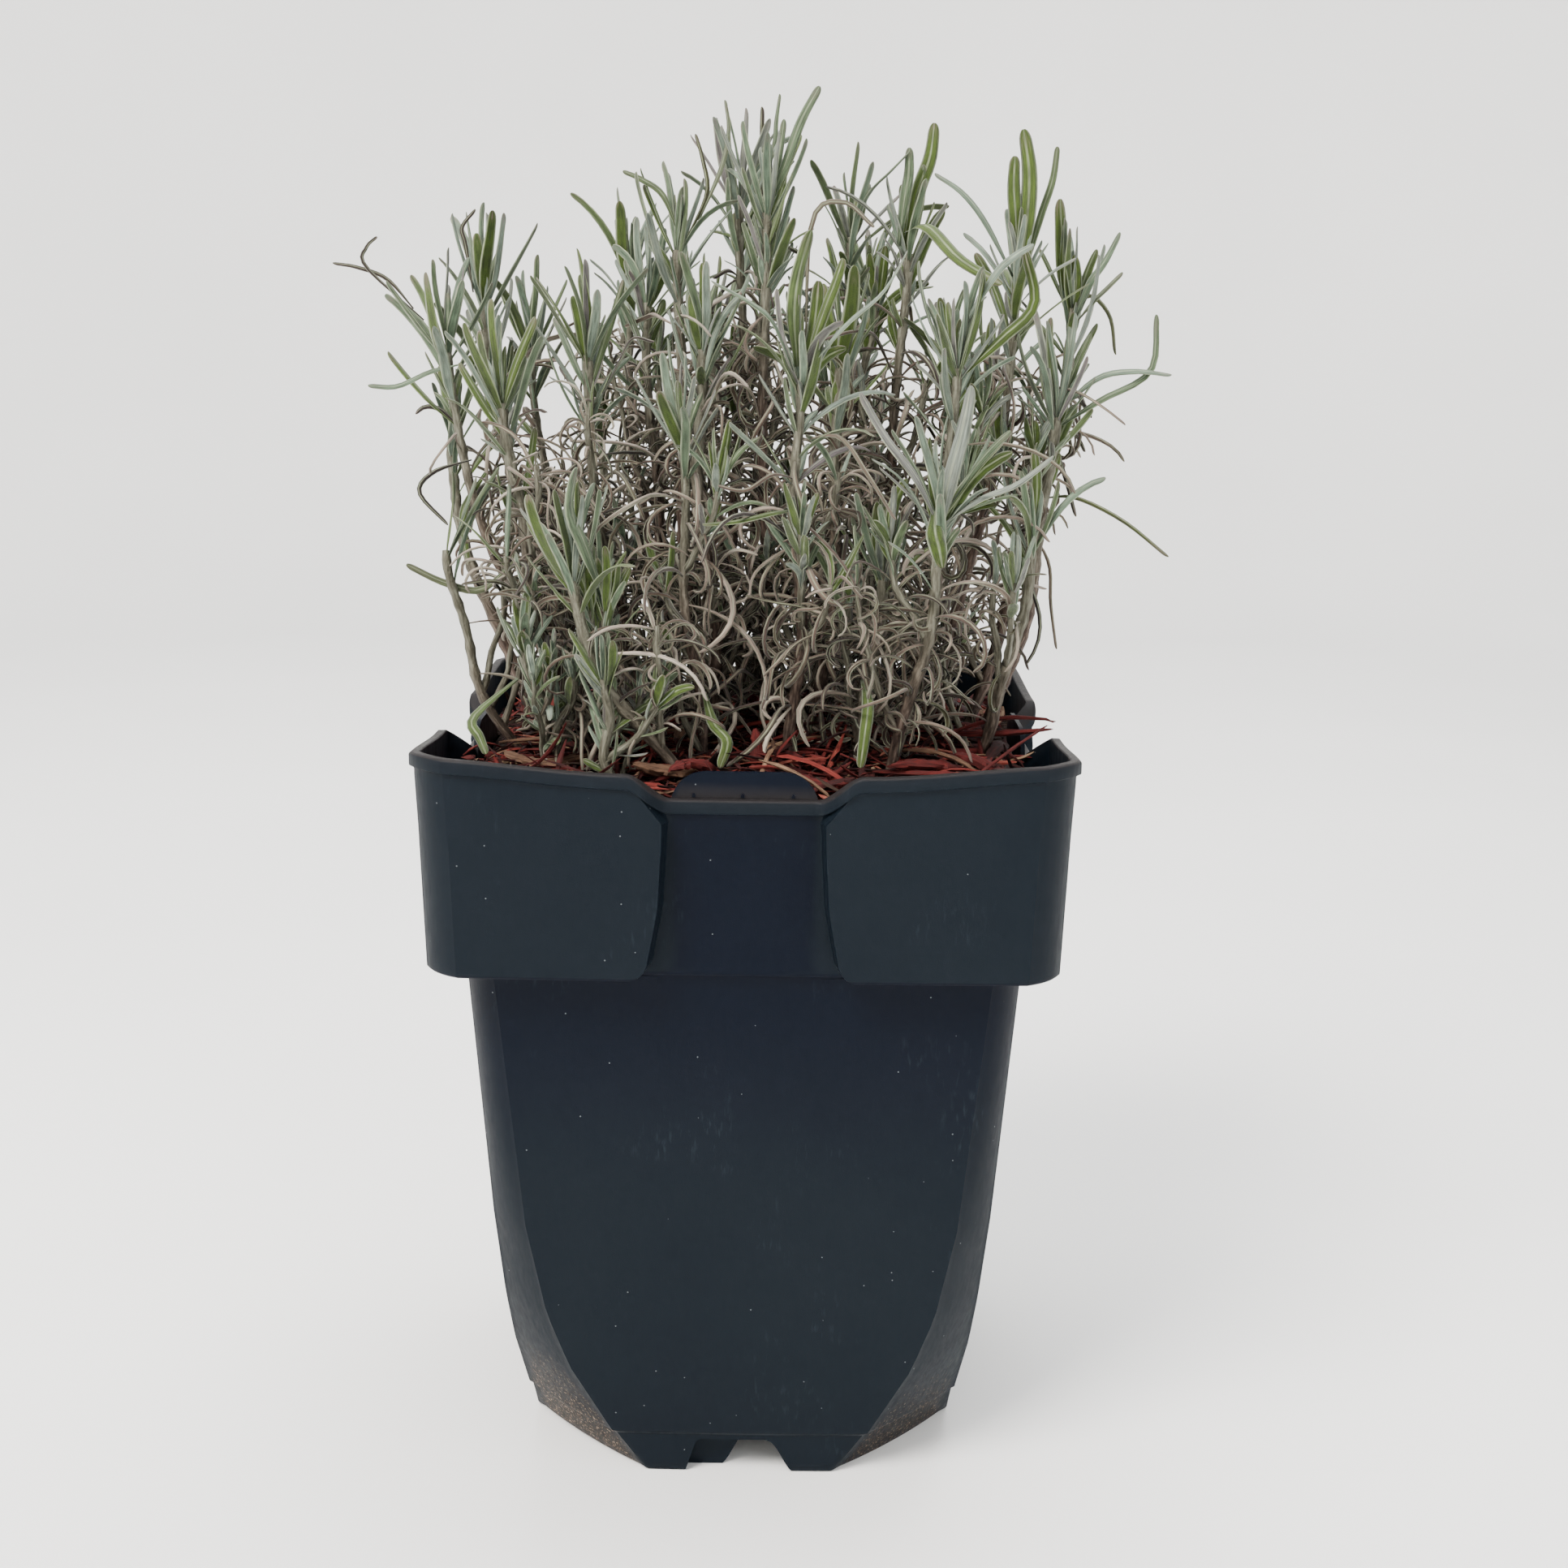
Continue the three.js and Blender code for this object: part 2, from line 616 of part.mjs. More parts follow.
const pot = makePot();
const stemRooms = SHOOTS.map((shoot) => stemSolid(shoot, GAP));
const withHoles = (solid) => stemRooms.reduce((left, room) => left.subtract(room), solid);
const rootBall = withHoles(filling(innerRings(POT.wall + GAP, GAP), () => COMPOST_TOP));
const mulchFoot = ring({ ...collarAt(COMPOST_TOP), inward: POT.wall + GAP }, () => COMPOST_TOP + GAP);
const mulch = withHoles(filling([mulchFoot], ground));

place('nursery_pot', pot, potPlastic);
place('compost_root_ball', rootBall, compost);
place('bark_mulch', mulch, dyedBark);

const chips = [];
for (const chip of CHIPS) {
  chips.push(restingChip(chip, mulch, [pot, ...stemRooms, ...chips]));
}
chips.forEach((chip, i) => {
  const number = String(i + 1).padStart(2, '0');
  place(`bark_chip_${number}`, chip, CHIPS[i].dyed ? dyedBark : brownBark);
});

growShoots([pot, rootBall, mulch, ...chips]).forEach((shoot, i) => {
  place(`shoot_${String(i + 1).padStart(2, '0')}`, shoot, foliage);
});

export default plant;
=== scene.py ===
import math
import random

import bpy
from bpy.props import FloatProperty, FloatVectorProperty, IntProperty, PointerProperty
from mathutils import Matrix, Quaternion, Vector, noise


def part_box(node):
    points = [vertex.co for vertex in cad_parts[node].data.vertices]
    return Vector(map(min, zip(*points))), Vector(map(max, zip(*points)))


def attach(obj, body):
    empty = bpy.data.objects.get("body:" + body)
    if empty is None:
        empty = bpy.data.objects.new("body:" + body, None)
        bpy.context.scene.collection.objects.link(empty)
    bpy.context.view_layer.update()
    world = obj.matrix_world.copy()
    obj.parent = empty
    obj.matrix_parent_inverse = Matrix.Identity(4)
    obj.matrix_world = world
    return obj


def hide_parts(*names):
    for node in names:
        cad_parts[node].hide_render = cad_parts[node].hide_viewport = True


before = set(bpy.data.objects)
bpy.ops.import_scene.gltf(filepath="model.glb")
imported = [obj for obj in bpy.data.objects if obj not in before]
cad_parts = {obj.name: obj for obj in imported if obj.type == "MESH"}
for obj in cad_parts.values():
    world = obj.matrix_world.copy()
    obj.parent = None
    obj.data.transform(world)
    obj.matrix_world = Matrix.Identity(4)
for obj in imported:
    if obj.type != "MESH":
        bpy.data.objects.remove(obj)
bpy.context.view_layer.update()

bl_info = {
    "name": "Potted Lavender",
    "version": (1, 0, 0),
    "blender": (4, 5, 0),
    "location": "3D View > Sidebar > Lavender",
    "description": "A bushy young lavender in a square nursery pot with bark mulch",
    "category": "Add Mesh",
}

MM = 0.001
POT_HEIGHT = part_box("nursery_pot")[1][2] / MM
COMPOST_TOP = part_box("compost_root_ball")[1][2] / MM


def linear(hex_colour):
    """An sRGB hex colour as linear red, green, blue and alpha."""
    parts = [int(hex_colour[i:i + 2], 16) / 255 for i in (1, 3, 5)]
    return tuple(c / 12.92 if c <= 0.04045 else ((c + 0.055) / 1.055) ** 2.4 for c in parts) + (1.0,)


# ---------- Settings ----------

class PotSettings(bpy.types.PropertyGroup):
    """Sizes and colours of the nursery pot"""

    wall: FloatProperty(
        name="Wall", description="Thickness of the pot's wall, in millimetres", default=1.6, min=0.8, max=3)
    lip: FloatProperty(
        name="Lip", description="How far the rim's lip stands out, in millimetres", default=1.2, min=0, max=3)
    plastic: FloatVectorProperty(
        name="Plastic", description="Colour of the moulded plastic", subtype="COLOR", size=4,
        default=linear("#0a1118"), min=0, max=1)
    dust: FloatProperty(
        name="Dust", description="How much dust and soil has stuck to the pot", subtype="FACTOR",
        default=0.5, min=0, max=1)


class MulchSettings(bpy.types.PropertyGroup):
    """Amount and spread of the bark mulch"""

    shreds: IntProperty(name="Shreds", description="Number of loose shreds of bark", default=3600, min=0)
    seed: IntProperty(name="Seed", description="Start of the random spread", default=5)


class FoliageSettings(bpy.types.PropertyGroup):
    """Size and growth of the leaves"""

    leaf_length: FloatProperty(
        name="Leaf Length", description="Length of a full-grown leaf, in millimetres", default=34, min=10)
    leaf_width: FloatProperty(
        name="Leaf Width", description="Width of a full-grown leaf, in millimetres", default=3.4, min=1)
    seed: IntProperty(name="Seed", description="Start of the random growth", default=11)


class StageSettings(bpy.types.PropertyGroup):
    """Camera and light"""

    distance: FloatProperty(
        name="Camera Distance", description="From the camera to the pot's axis", default=0.57, min=0.1,
        unit="LENGTH")
    height: FloatProperty(
        name="Camera Height", description="Height of the camera", default=0.314, min=0, unit="LENGTH")
    pitch: FloatProperty(
        name="Camera Pitch", description="How far the camera looks down", default=math.radians(12.5),
        unit="ROTATION")
    roll: FloatProperty(
        name="Camera Roll", description="How far the camera is turned about its view",
        default=math.radians(0.8), unit="ROTATION")
    light: FloatProperty(name="Light", description="Strength of the soft light", default=1.0, min=0)


# ---------- Meshes ----------

class Shape:
    """Vertices in millimetres, faces, a material index per face and a colour value per vertex."""

    def __init__(self):
        self.vertices = []
        self.faces = []
        self.face_materials = []
        self.values = []

    def add(self, vertices, faces, values=None, material=0):
        """Adds vertices and the faces between them, which count the vertices from 0."""
        first = len(self.vertices)
        self.vertices.extend(vertices)
        self.faces.extend(tuple(first + i for i in face) for face in faces)
        self.face_materials.extend([material] * len(faces))
        self.values.extend(values or [(0.0, 0.0, 0.0, 0.0)] * len(vertices))

    def object(self, name, materials, smooth=180):
        """Makes the object. Edges sharper than smooth degrees stay crisp."""
        mesh = bpy.data.meshes.new(name)
        mesh.from_pydata([[c * MM for c in v] for v in self.vertices], [], self.faces)
        mesh.polygons.foreach_set("material_index", self.face_materials)
        mesh.polygons.foreach_set("use_smooth", [True] * len(self.faces))
        layer = mesh.color_attributes.new("vertex_values", "FLOAT_COLOR", "POINT")
        layer.data.foreach_set("color", [c for value in self.values for c in value])
        for material in materials:
            mesh.materials.append(material)
        mesh.validate()
        if smooth < 180:
            mesh.set_sharp_from_angle(angle=math.radians(smooth))
        made = bpy.data.objects.new(name, mesh)
        bpy.context.scene.collection.objects.link(made)
        return made


def grid_faces(rows, columns):
    """Quads between closed rings of equal length."""
    faces = []
    for r in range(rows - 1):
        for c in range(columns):
            d = (c + 1) % columns
            faces.append((r * columns + c, r * columns + d, (r + 1) * columns + d, (r + 1) * columns + c))
    return faces


def tube_faces(rings, sides):
    """The faces of a closed tube, through rings that turn counterclockwise seen from the last one."""
    faces = grid_faces(rings, sides)
    faces.append(tuple(reversed(range(sides))))
    faces.append(tuple((rings - 1) * sides + k for k in range(sides)))
    return faces


def flipped(faces):
    """Faces turned inside out, for rings that turn clockwise."""
    return [tuple(reversed(face)) for face in faces]


def lofted(rings):
    """A closed solid through rings listed from the bottom up, counterclockwise from above."""
    shape = Shape()
    shape.add([p for ring in rings for p in ring], tube_faces(len(rings), len(rings[0])))
    return shape


def turned(x, y, quarter):
    """A place in plan, turned about the pot's axis by a number of quarter turns."""
    cosine, sine = math.cos(quarter * math.pi / 2), math.sin(quarter * math.pi / 2)
    return x * cosine - y * sine, x * sine + y * cosine


def smoothstep(low, high, x):
    """0 below low and 1 above high, with a soft rise between them. low may be above high."""
    t = min(1.0, max(0.0, (x - low) / (high - low)))
    return t * t * (3 - 2 * t)


def lookup(table, z):
    """The values at height z, between the rows (z, values...) of a table listed from the bottom up."""
    below = sum(1 for row in table[1:-1] if row[0] < z)
    low, high = table[below], table[below + 1]
    t = (z - low[0]) / (high[0] - low[0])
    return [a + t * (b - a) for a, b in zip(low[1:], high[1:])]


# ---------- Materials ----------

def node(tree, kind, inputs=None, stops=None, **settings):
    """Adds a node. inputs gives a value or another node's output for each input by name or number.

    Mix takes its share and its two colours as 0, 6 and 7, and its colour comes out of 2. Map Range takes
    its value, the range that it comes from and the range that it goes to as 0 to 4.
    """
    made = tree.nodes.new(kind)
    for key, value in settings.items():
        setattr(made, key, value)
    for key, value in (inputs or {}).items():
        if isinstance(value, bpy.types.NodeSocket):
            tree.links.new(value, made.inputs[key])
        else:
            made.inputs[key].default_value = value
    if stops:
        ramp = made.color_ramp.elements
        while len(ramp) < len(stops):
            ramp.new(0.5)
        for element, (position, colour) in zip(ramp, stops):
            element.position = position
            element.color = linear(colour) if isinstance(colour, str) else (colour, colour, colour, 1)
    return made


def scale_for(size):
    """The Scale of a pattern whose features are some size across, in millimetres."""
    return 1 / (size * MM)


def start(name):
    """An empty material, its tree and its shader."""
    material = bpy.data.materials.new(name)
    material.use_nodes = True
    tree = material.node_tree
    return material, tree, tree.nodes["Principled BSDF"]


def moulded_polypropylene(colour, dust):
    """Injection-moulded polypropylene: dark and even, with a soft sheen, fine scratches and stuck dust."""
    material, tree, shader = start("moulded polypropylene")
    place = node(tree, "ShaderNodeTexCoord").outputs["Object"]
    # Flow of the melt and a film of dust: a faint cloudy change of colour over some 60 mm.
    cloud = node(tree, "ShaderNodeTexNoise", {"Vector": place, "Scale": scale_for(62.5), "Detail": 4.0})
    cloudy = node(tree, "ShaderNodeMapRange", {0: cloud.outputs[0], 1: 0.35, 2: 0.75, 3: 0.0, 4: 0.55})
    worn = node(
        tree, "ShaderNodeMix", {0: cloudy.outputs[0], 6: colour, 7: linear("#0f161c")}, data_type="RGBA")
    # Painted shade: the body under the collar and the set-back middles of the collar are painted darker.
    vertex_values = node(tree, "ShaderNodeSeparateColor", {
        0: node(tree, "ShaderNodeAttribute", attribute_name="vertex_values").outputs["Color"]})
    painted_shade_colour = node(
        tree, "ShaderNodeMix", {0: vertex_values.outputs[1], 6: worn.outputs[2], 7: linear("#020713")},
        data_type="RGBA")
    # Scuffs: pale chalky rubs in patches some 26 mm across, broken up into upright streaks 1 mm wide.
    patch = node(tree, "ShaderNodeTexNoise", {"Vector": place, "Scale": scale_for(26.316), "Detail": 3.0})
    squeeze = node(tree, "ShaderNodeMapping", {"Vector": place, "Scale": (1.0, 1.0, 0.22)})
    streak = node(
        tree, "ShaderNodeTexNoise", {"Vector": squeeze.outputs[0], "Scale": scale_for(1.1111), "Detail": 5.0})
    patchy = node(tree, "ShaderNodeMapRange", {0: patch.outputs[0], 1: 0.56, 2: 0.72})
    streaky = node(tree, "ShaderNodeMapRange", {0: streak.outputs[0], 1: 0.55, 2: 0.8})
    scuff = node(tree, "ShaderNodeMath", {0: patchy.outputs[0], 1: streaky.outputs[0]}, operation="MULTIPLY")
    scuffed = node(
        tree, "ShaderNodeMix", {0: scuff.outputs[0], 6: painted_shade_colour.outputs[2], 7: linear("#222a30")},
        data_type="RGBA")
    # Specks of grit and lime, 0.4 mm across: one in about a third of the 3.8 mm cells.
    speck = node(
        tree, "ShaderNodeTexVoronoi", {"Vector": place, "Scale": scale_for(3.8462), "Randomness": 1.0})
    near = node(tree, "ShaderNodeMath", {0: speck.outputs["Distance"], 1: 0.05}, operation="LESS_THAN")
    pick = node(tree, "ShaderNodeSeparateColor", {0: speck.outputs["Color"]})
    chosen = node(tree, "ShaderNodeMath", {0: pick.outputs[0], 1: 1 - dust * 0.7}, operation="GREATER_THAN")
    dot = node(tree, "ShaderNodeMath", {0: near.outputs[0], 1: chosen.outputs[0]}, operation="MULTIPLY")
    dotted = node(
        tree, "ShaderNodeMix", {0: dot.outputs[0], 6: scuffed.outputs[2], 7: linear("#5c6163")},
        data_type="RGBA")
    # Soil splashed on the lower corners, up to 55 mm high: where both x and y are large for the height.
    axis = node(tree, "ShaderNodeSeparateXYZ", {0: place})
    along_x = node(tree, "ShaderNodeMath", {0: axis.outputs[0]}, operation="ABSOLUTE")
    along_y = node(tree, "ShaderNodeMath", {0: axis.outputs[1]}, operation="ABSOLUTE")
    lesser = node(tree, "ShaderNodeMath", {0: along_x.outputs[0], 1: along_y.outputs[0]}, operation="MINIMUM")
    inset = node(tree, "ShaderNodeMath", {0: axis.outputs[2], 1: -0.65, 2: lesser.outputs[0]},
                 operation="MULTIPLY_ADD")
    corner = node(tree, "ShaderNodeMapRange", {0: inset.outputs[0], 1: 0.0255, 2: 0.031})
    low = node(tree, "ShaderNodeMapRange", {0: axis.outputs[2], 1: 0.055, 2: 0.005})
    side = node(tree, "ShaderNodeMapRange", {0: axis.outputs[0], 1: 0.02, 2: -0.02, 3: 0.72, 4: 1.0})
    reach = node(tree, "ShaderNodeMath", {0: corner.outputs[0], 1: low.outputs[0]}, operation="MULTIPLY")
    amount = node(tree, "ShaderNodeMath", {0: reach.outputs[0], 1: side.outputs[0]}, operation="MULTIPLY")
    splash = node(
        tree, "ShaderNodeTexNoise",
        {"Vector": place, "Scale": scale_for(2.381), "Detail": 6.0, "Roughness": 0.7})
    soiled = node(tree, "ShaderNodeMath", {0: splash.outputs[0], 1: amount.outputs[0]}, operation="MULTIPLY")
    soil = node(tree, "ShaderNodeMapRange", {0: soiled.outputs[0], 1: 0.2, 2: 0.5, 4: 0.9})
    grain = node(tree, "ShaderNodeTexNoise", {"Vector": place, "Scale": scale_for(0.76923), "Detail": 3.0})
    soil_colour = node(
        tree, "ShaderNodeValToRGB", {0: grain.outputs[0]},
        stops=[(0.35, "#0f0e0d"), (0.52, "#1d1a17"), (0.6, "#4a3526"), (0.7, "#a5957f")])
    dirty = node(
        tree, "ShaderNodeMix", {0: soil.outputs[0], 6: dotted.outputs[2], 7: soil_colour.outputs[0]},
        data_type="RGBA")
    # Painted highlight: the rim's top edge is painted a lighter, warmer grey.
    painted_rim_highlight = node(
        tree, "ShaderNodeMix", {0: vertex_values.outputs[0], 6: dirty.outputs[2], 7: linear("#211f20")},
        data_type="RGBA")
    tree.links.new(painted_rim_highlight.outputs[2], shader.inputs["Base Color"])
    rough = node(tree, "ShaderNodeMapRange", {0: streak.outputs[0], 1: 0.3, 2: 0.7, 3: 0.44, 4: 0.56})
    tree.links.new(rough.outputs[0], shader.inputs["Roughness"])
    shader.inputs["IOR"].default_value = 1.49
    shader.inputs["Specular IOR Level"].default_value = 0.08
    # Spark-eroded mould texture. Its real grain is 0.1 mm, and it is drawn three times as coarse to show.
    tooth = node(tree, "ShaderNodeTexNoise", {"Vector": place, "Scale": scale_for(0.28571), "Detail": 2.0})
    bump = node(tree, "ShaderNodeBump", {"Height": tooth.outputs[0], "Strength": 0.12, "Distance": 0.0002})
    tree.links.new(bump.outputs[0], shader.inputs["Normal"])
    return material


def shredded_bark(name, stops):
    """Shredded bark: matte fibres that run along each shred, from dark cracks to pale torn edges."""
    material, tree, shader = start(name)
    vertex_values = node(tree, "ShaderNodeAttribute", attribute_name="vertex_values")
    part = node(tree, "ShaderNodeSeparateColor", {0: vertex_values.outputs["Color"]})
    place = node(tree, "ShaderNodeTexCoord").outputs["Object"]
    # Fibres 4 mm long and 0.3 mm wide: 3 to each 12 mm of a shred's length, and 22 round it.
    lane = node(
        tree, "ShaderNodeCombineXYZ", {0: part.outputs[0], 1: part.outputs[1], 2: vertex_values.outputs["Alpha"]})
    stretch = node(tree, "ShaderNodeMapping", {"Vector": lane.outputs[0], "Scale": (3.0, 22.0, 90.0)})
    fibre = node(tree, "ShaderNodeTexNoise", {"Vector": stretch.outputs[0], "Scale": 1.0, "Detail": 5.0})
    blotch = node(tree, "ShaderNodeTexNoise", {"Vector": place, "Scale": scale_for(3.8462), "Detail": 3.0})
    tone = node(tree, "ShaderNodeMath", {0: part.outputs[2], 1: 0.55}, operation="MULTIPLY")
    shade = node(tree, "ShaderNodeMath", {0: fibre.outputs[0], 1: 0.55, 2: tone.outputs[0]},
                 operation="MULTIPLY_ADD")
    mixed = node(tree, "ShaderNodeMath", {0: blotch.outputs[0], 1: 0.25, 2: shade.outputs[0]},
                 operation="MULTIPLY_ADD")
    colour = node(tree, "ShaderNodeValToRGB", {0: mixed.outputs[0]}, stops=stops)
    tree.links.new(colour.outputs[0], shader.inputs["Base Color"])
    shader.inputs["Roughness"].default_value = 0.85
    shader.inputs["Specular IOR Level"].default_value = 0.25
    bump = node(tree, "ShaderNodeBump", {"Height": fibre.outputs[0], "Strength": 0.6, "Distance": 0.0006})
    tree.links.new(bump.outputs[0], shader.inputs["Normal"])
    return material


def potting_compost():
    """Damp potting compost: near black crumbs of peat 2 mm across, with paler fibres."""
    material, tree, shader = start("potting compost")
    place = node(tree, "ShaderNodeTexCoord").outputs["Object"]
    crumb = node(tree, "ShaderNodeTexVoronoi", {"Vector": place, "Scale": scale_for(2.0833)})
    dust = node(tree, "ShaderNodeTexNoise", {"Vector": place, "Scale": scale_for(1.1111), "Detail": 6.0})
    colour = node(
        tree, "ShaderNodeValToRGB", {0: dust.outputs[0]},
        stops=[(0.3, "#120b08"), (0.55, "#24170f"), (0.78, "#4a3424")])
    tree.links.new(colour.outputs[0], shader.inputs["Base Color"])
    shader.inputs["Roughness"].default_value = 0.95
    shader.inputs["Specular IOR Level"].default_value = 0.2
    bump = node(tree, "ShaderNodeBump", {"Height": crumb.outputs[0], "Strength": 0.9, "Distance": 0.0015})
    tree.links.new(bump.outputs[0], shader.inputs["Normal"])
    return material


def felted_leaf():
    """Lavender leaf: a felt of fine hairs makes it silvery and matte. It greys and browns as it dries."""
    material, tree, shader = start("felted lavender leaf")
    vertex_values = node(tree, "ShaderNodeAttribute", attribute_name="vertex_values")
    part = node(tree, "ShaderNodeSeparateColor", {0: vertex_values.outputs["Color"]})
    along, across, age = part.outputs[0], part.outputs[1], part.outputs[2]
    tone = vertex_values.outputs["Alpha"]
    place = node(tree, "ShaderNodeTexCoord").outputs["Object"]
    # Living leaves run from olive through grey-green to grey, and dead ones from dark brown to pale grey.
    green = node(tree, "ShaderNodeValToRGB", {0: tone}, stops=[
        (0.0, "#2c3b08"), (0.2, "#394917"), (0.4, "#3e4b2f"), (0.65, "#4b5b49"), (0.85, "#626e62"),
        (1.0, "#51494a")])
    dead = node(tree, "ShaderNodeValToRGB", {0: tone}, stops=[
        (0.0, "#1a120f"), (0.3, "#382b24"), (0.6, "#52443a"), (0.85, "#6e6156"), (1.0, "#92877b")])
    drying = node(tree, "ShaderNodeMapRange", {0: age, 1: 0.35, 2: 0.85})
    mottle = node(tree, "ShaderNodeTexNoise", {"Vector": place, "Scale": scale_for(3.125), "Detail": 4.0})
    patchy = node(tree, "ShaderNodeMath", {0: mottle.outputs[0], 1: 0.5, 2: drying.outputs[0]},
                  operation="MULTIPLY_ADD")
    dried = node(
        tree, "ShaderNodeMath", {0: patchy.outputs[0], 1: 0.25}, operation="SUBTRACT", use_clamp=True)
    body = node(
        tree, "ShaderNodeMix", {0: dried.outputs[0], 6: green.outputs[0], 7: dead.outputs[0]},
        data_type="RGBA")
    # Pale rolled margins, and a pale midrib that fades out 0.3 mm from the middle.
    edge = node(tree, "ShaderNodeMapRange", {0: across, 1: 0.78, 2: 1.0, 4: 0.75})
    rib = node(tree, "ShaderNodeMapRange", {0: across, 1: 0.0, 2: 0.2, 3: 0.45, 4: 0.0})
    line = node(tree, "ShaderNodeMath", {0: edge.outputs[0], 1: rib.outputs[0]}, operation="MAXIMUM")
    lined = node(
        tree, "ShaderNodeMix", {0: line.outputs[0], 6: body.outputs[2], 7: linear("#979f84")},
        data_type="RGBA")
    # Shrivelled streaks: 5 to the leaf's length and 5 to its half width, which is some 0.3 mm.
    lane = node(tree, "ShaderNodeCombineXYZ", {0: along, 1: across, 2: tone})
    stretch = node(tree, "ShaderNodeMapping", {"Vector": lane.outputs[0], "Scale": (5.0, 5.0, 60.0)})
    streak = node(tree, "ShaderNodeTexNoise", {"Vector": stretch.outputs[0], "Scale": 1.0, "Detail": 6.0})
    dark = node(tree, "ShaderNodeMapRange", {0: streak.outputs[0], 1: 0.3, 2: 0.75, 3: 0.45, 4: 1.7})
    shaded = node(
        tree, "ShaderNodeMix", {0: 1.0, 6: lined.outputs[2], 7: dark.outputs[0]}, data_type="RGBA",
        blend_type="MULTIPLY")
    # Frost has turned some tips purple-brown.
    tip = node(tree, "ShaderNodeMapRange", {0: along, 1: 0.8, 2: 1.0})
    rare = node(tree, "ShaderNodeMapRange", {0: streak.outputs[0], 1: 0.5, 2: 0.62})
    nipped = node(tree, "ShaderNodeMath", {0: tip.outputs[0], 1: rare.outputs[0]}, operation="MULTIPLY")
    tipped = node(
        tree, "ShaderNodeMix", {0: nipped.outputs[0], 6: shaded.outputs[2], 7: linear("#5a4a48")},
        data_type="RGBA")
    tree.links.new(tipped.outputs[2], shader.inputs["Base Color"])
    shader.inputs["Roughness"].default_value = 0.72
    shader.inputs["Specular IOR Level"].default_value = 0.22
    shader.inputs["Sheen Weight"].default_value = 0.12
    shader.inputs["Sheen Roughness"].default_value = 0.6
    shader.inputs["IOR"].default_value = 1.42
    # The hairs are 0.02 mm thick, and their felt is drawn 0.4 mm coarse to show.
    felt = node(tree, "ShaderNodeTexNoise", {"Vector": place, "Scale": scale_for(0.38462), "Detail": 2.0})
    fold = node(tree, "ShaderNodeMath", {0: streak.outputs[0], 1: felt.outputs[0]})
    bump = node(tree, "ShaderNodeBump", {"Height": fold.outputs[0], "Strength": 0.5, "Distance": 0.0003})
    tree.links.new(bump.outputs[0], shader.inputs["Normal"])
    return material


def lavender_stem():
    """Young woody stem: grey-brown ridged bark low down, greener and felted towards the tip."""
    material, tree, shader = start("ridged lavender stem")
    vertex_values = node(tree, "ShaderNodeAttribute", attribute_name="vertex_values")
    part = node(tree, "ShaderNodeSeparateColor", {0: vertex_values.outputs["Color"]})
    place = node(tree, "ShaderNodeTexCoord").outputs["Object"]
    # Ridges and cracks: 26 to 120 mm of stem, and 9 round it.
    lane = node(
        tree, "ShaderNodeCombineXYZ", {0: part.outputs[0], 1: part.outputs[1], 2: vertex_values.outputs["Alpha"]})
    stretch = node(tree, "ShaderNodeMapping", {"Vector": lane.outputs[0], "Scale": (26.0, 9.0, 40.0)})
    ridge = node(tree, "ShaderNodeTexNoise", {"Vector": stretch.outputs[0], "Scale": 1.0, "Detail": 6.0})
    wood = node(tree, "ShaderNodeValToRGB", {0: ridge.outputs[0]}, stops=[
        (0.3, "#1f1713"), (0.5, "#43362e"), (0.7, "#6a5c52")])
    young = node(tree, "ShaderNodeValToRGB", {0: ridge.outputs[0]}, stops=[
        (0.3, "#3a382c"), (0.5, "#58564a"), (0.7, "#757566")])
    height = node(tree, "ShaderNodeMapRange", {0: part.outputs[2], 1: 0.1, 2: 0.9})
    colour = node(
        tree, "ShaderNodeMix", {0: height.outputs[0], 6: wood.outputs[0], 7: young.outputs[0]},
        data_type="RGBA")
    tree.links.new(colour.outputs[2], shader.inputs["Base Color"])
    shader.inputs["Roughness"].default_value = 0.8
    shader.inputs["Specular IOR Level"].default_value = 0.25
    grit = node(tree, "ShaderNodeTexNoise", {"Vector": place, "Scale": scale_for(0.66667), "Detail": 3.0})
    rough = node(tree, "ShaderNodeMath", {0: ridge.outputs[0], 1: grit.outputs[0]})
    bump = node(tree, "ShaderNodeBump", {"Height": rough.outputs[0], "Strength": 0.7, "Distance": 0.0005})
    tree.links.new(bump.outputs[0], shader.inputs["Normal"])
    return material


def painted_sweep():
    """Matt white paint on a studio sweep: even and without any shine."""
    material, tree, shader = start("matt white paint")
    place = node(tree, "ShaderNodeTexCoord").outputs["Object"]
    roller = node(tree, "ShaderNodeTexNoise", {"Vector": place, "Scale": scale_for(333.33)})
    colour = node(
        tree, "ShaderNodeValToRGB", {0: roller.outputs[0]}, stops=[(0.3, "#ececeb"), (0.7, "#f1f1f0")])
    tree.links.new(colour.outputs[0], shader.inputs["Base Color"])
    shader.inputs["Roughness"].default_value = 0.95
    return material


# The colours of the fibres, from dark cracks to pale torn edges.
DYED_BARK = [(0.3, "#0b0303"), (0.5, "#290a09"), (0.68, "#4c1412"), (0.85, "#68241f"), (0.98, "#8a5847")]
BROWN_BARK = [(0.3, "#140c08"), (0.5, "#35241a"), (0.7, "#5c4434"), (0.9, "#91775e")]


# ---------- Nursery pot ----------

COLLAR_BOTTOM = 153.0
# Height, half width and corner cut of the body, in millimetres.
BODY = [
    (0, 61, 34.5), (12, 61.9, 27), (13, 62.7, 26.5), (34, 65.3, 17.5), (51, 66.9, 13), (78, 69.1, 10),
    (COLLAR_BOTTOM, 74, 8),
]
# Height, and the half widths of the corner panels and of the set-back middle of each side.
COLLAR = [(COLLAR_BOTTOM, 83.1, 76), (POT_HEIGHT, 84.8, 78.6)]
COLLAR_CUT = 9.0
# Height and half width of the gap between two panels.
PANEL_GAP = [(COLLAR_BOTTOM, 24.2), (160, 23.2), (172, 20.9), (190, 19.8), (POT_HEIGHT, 19.4)]
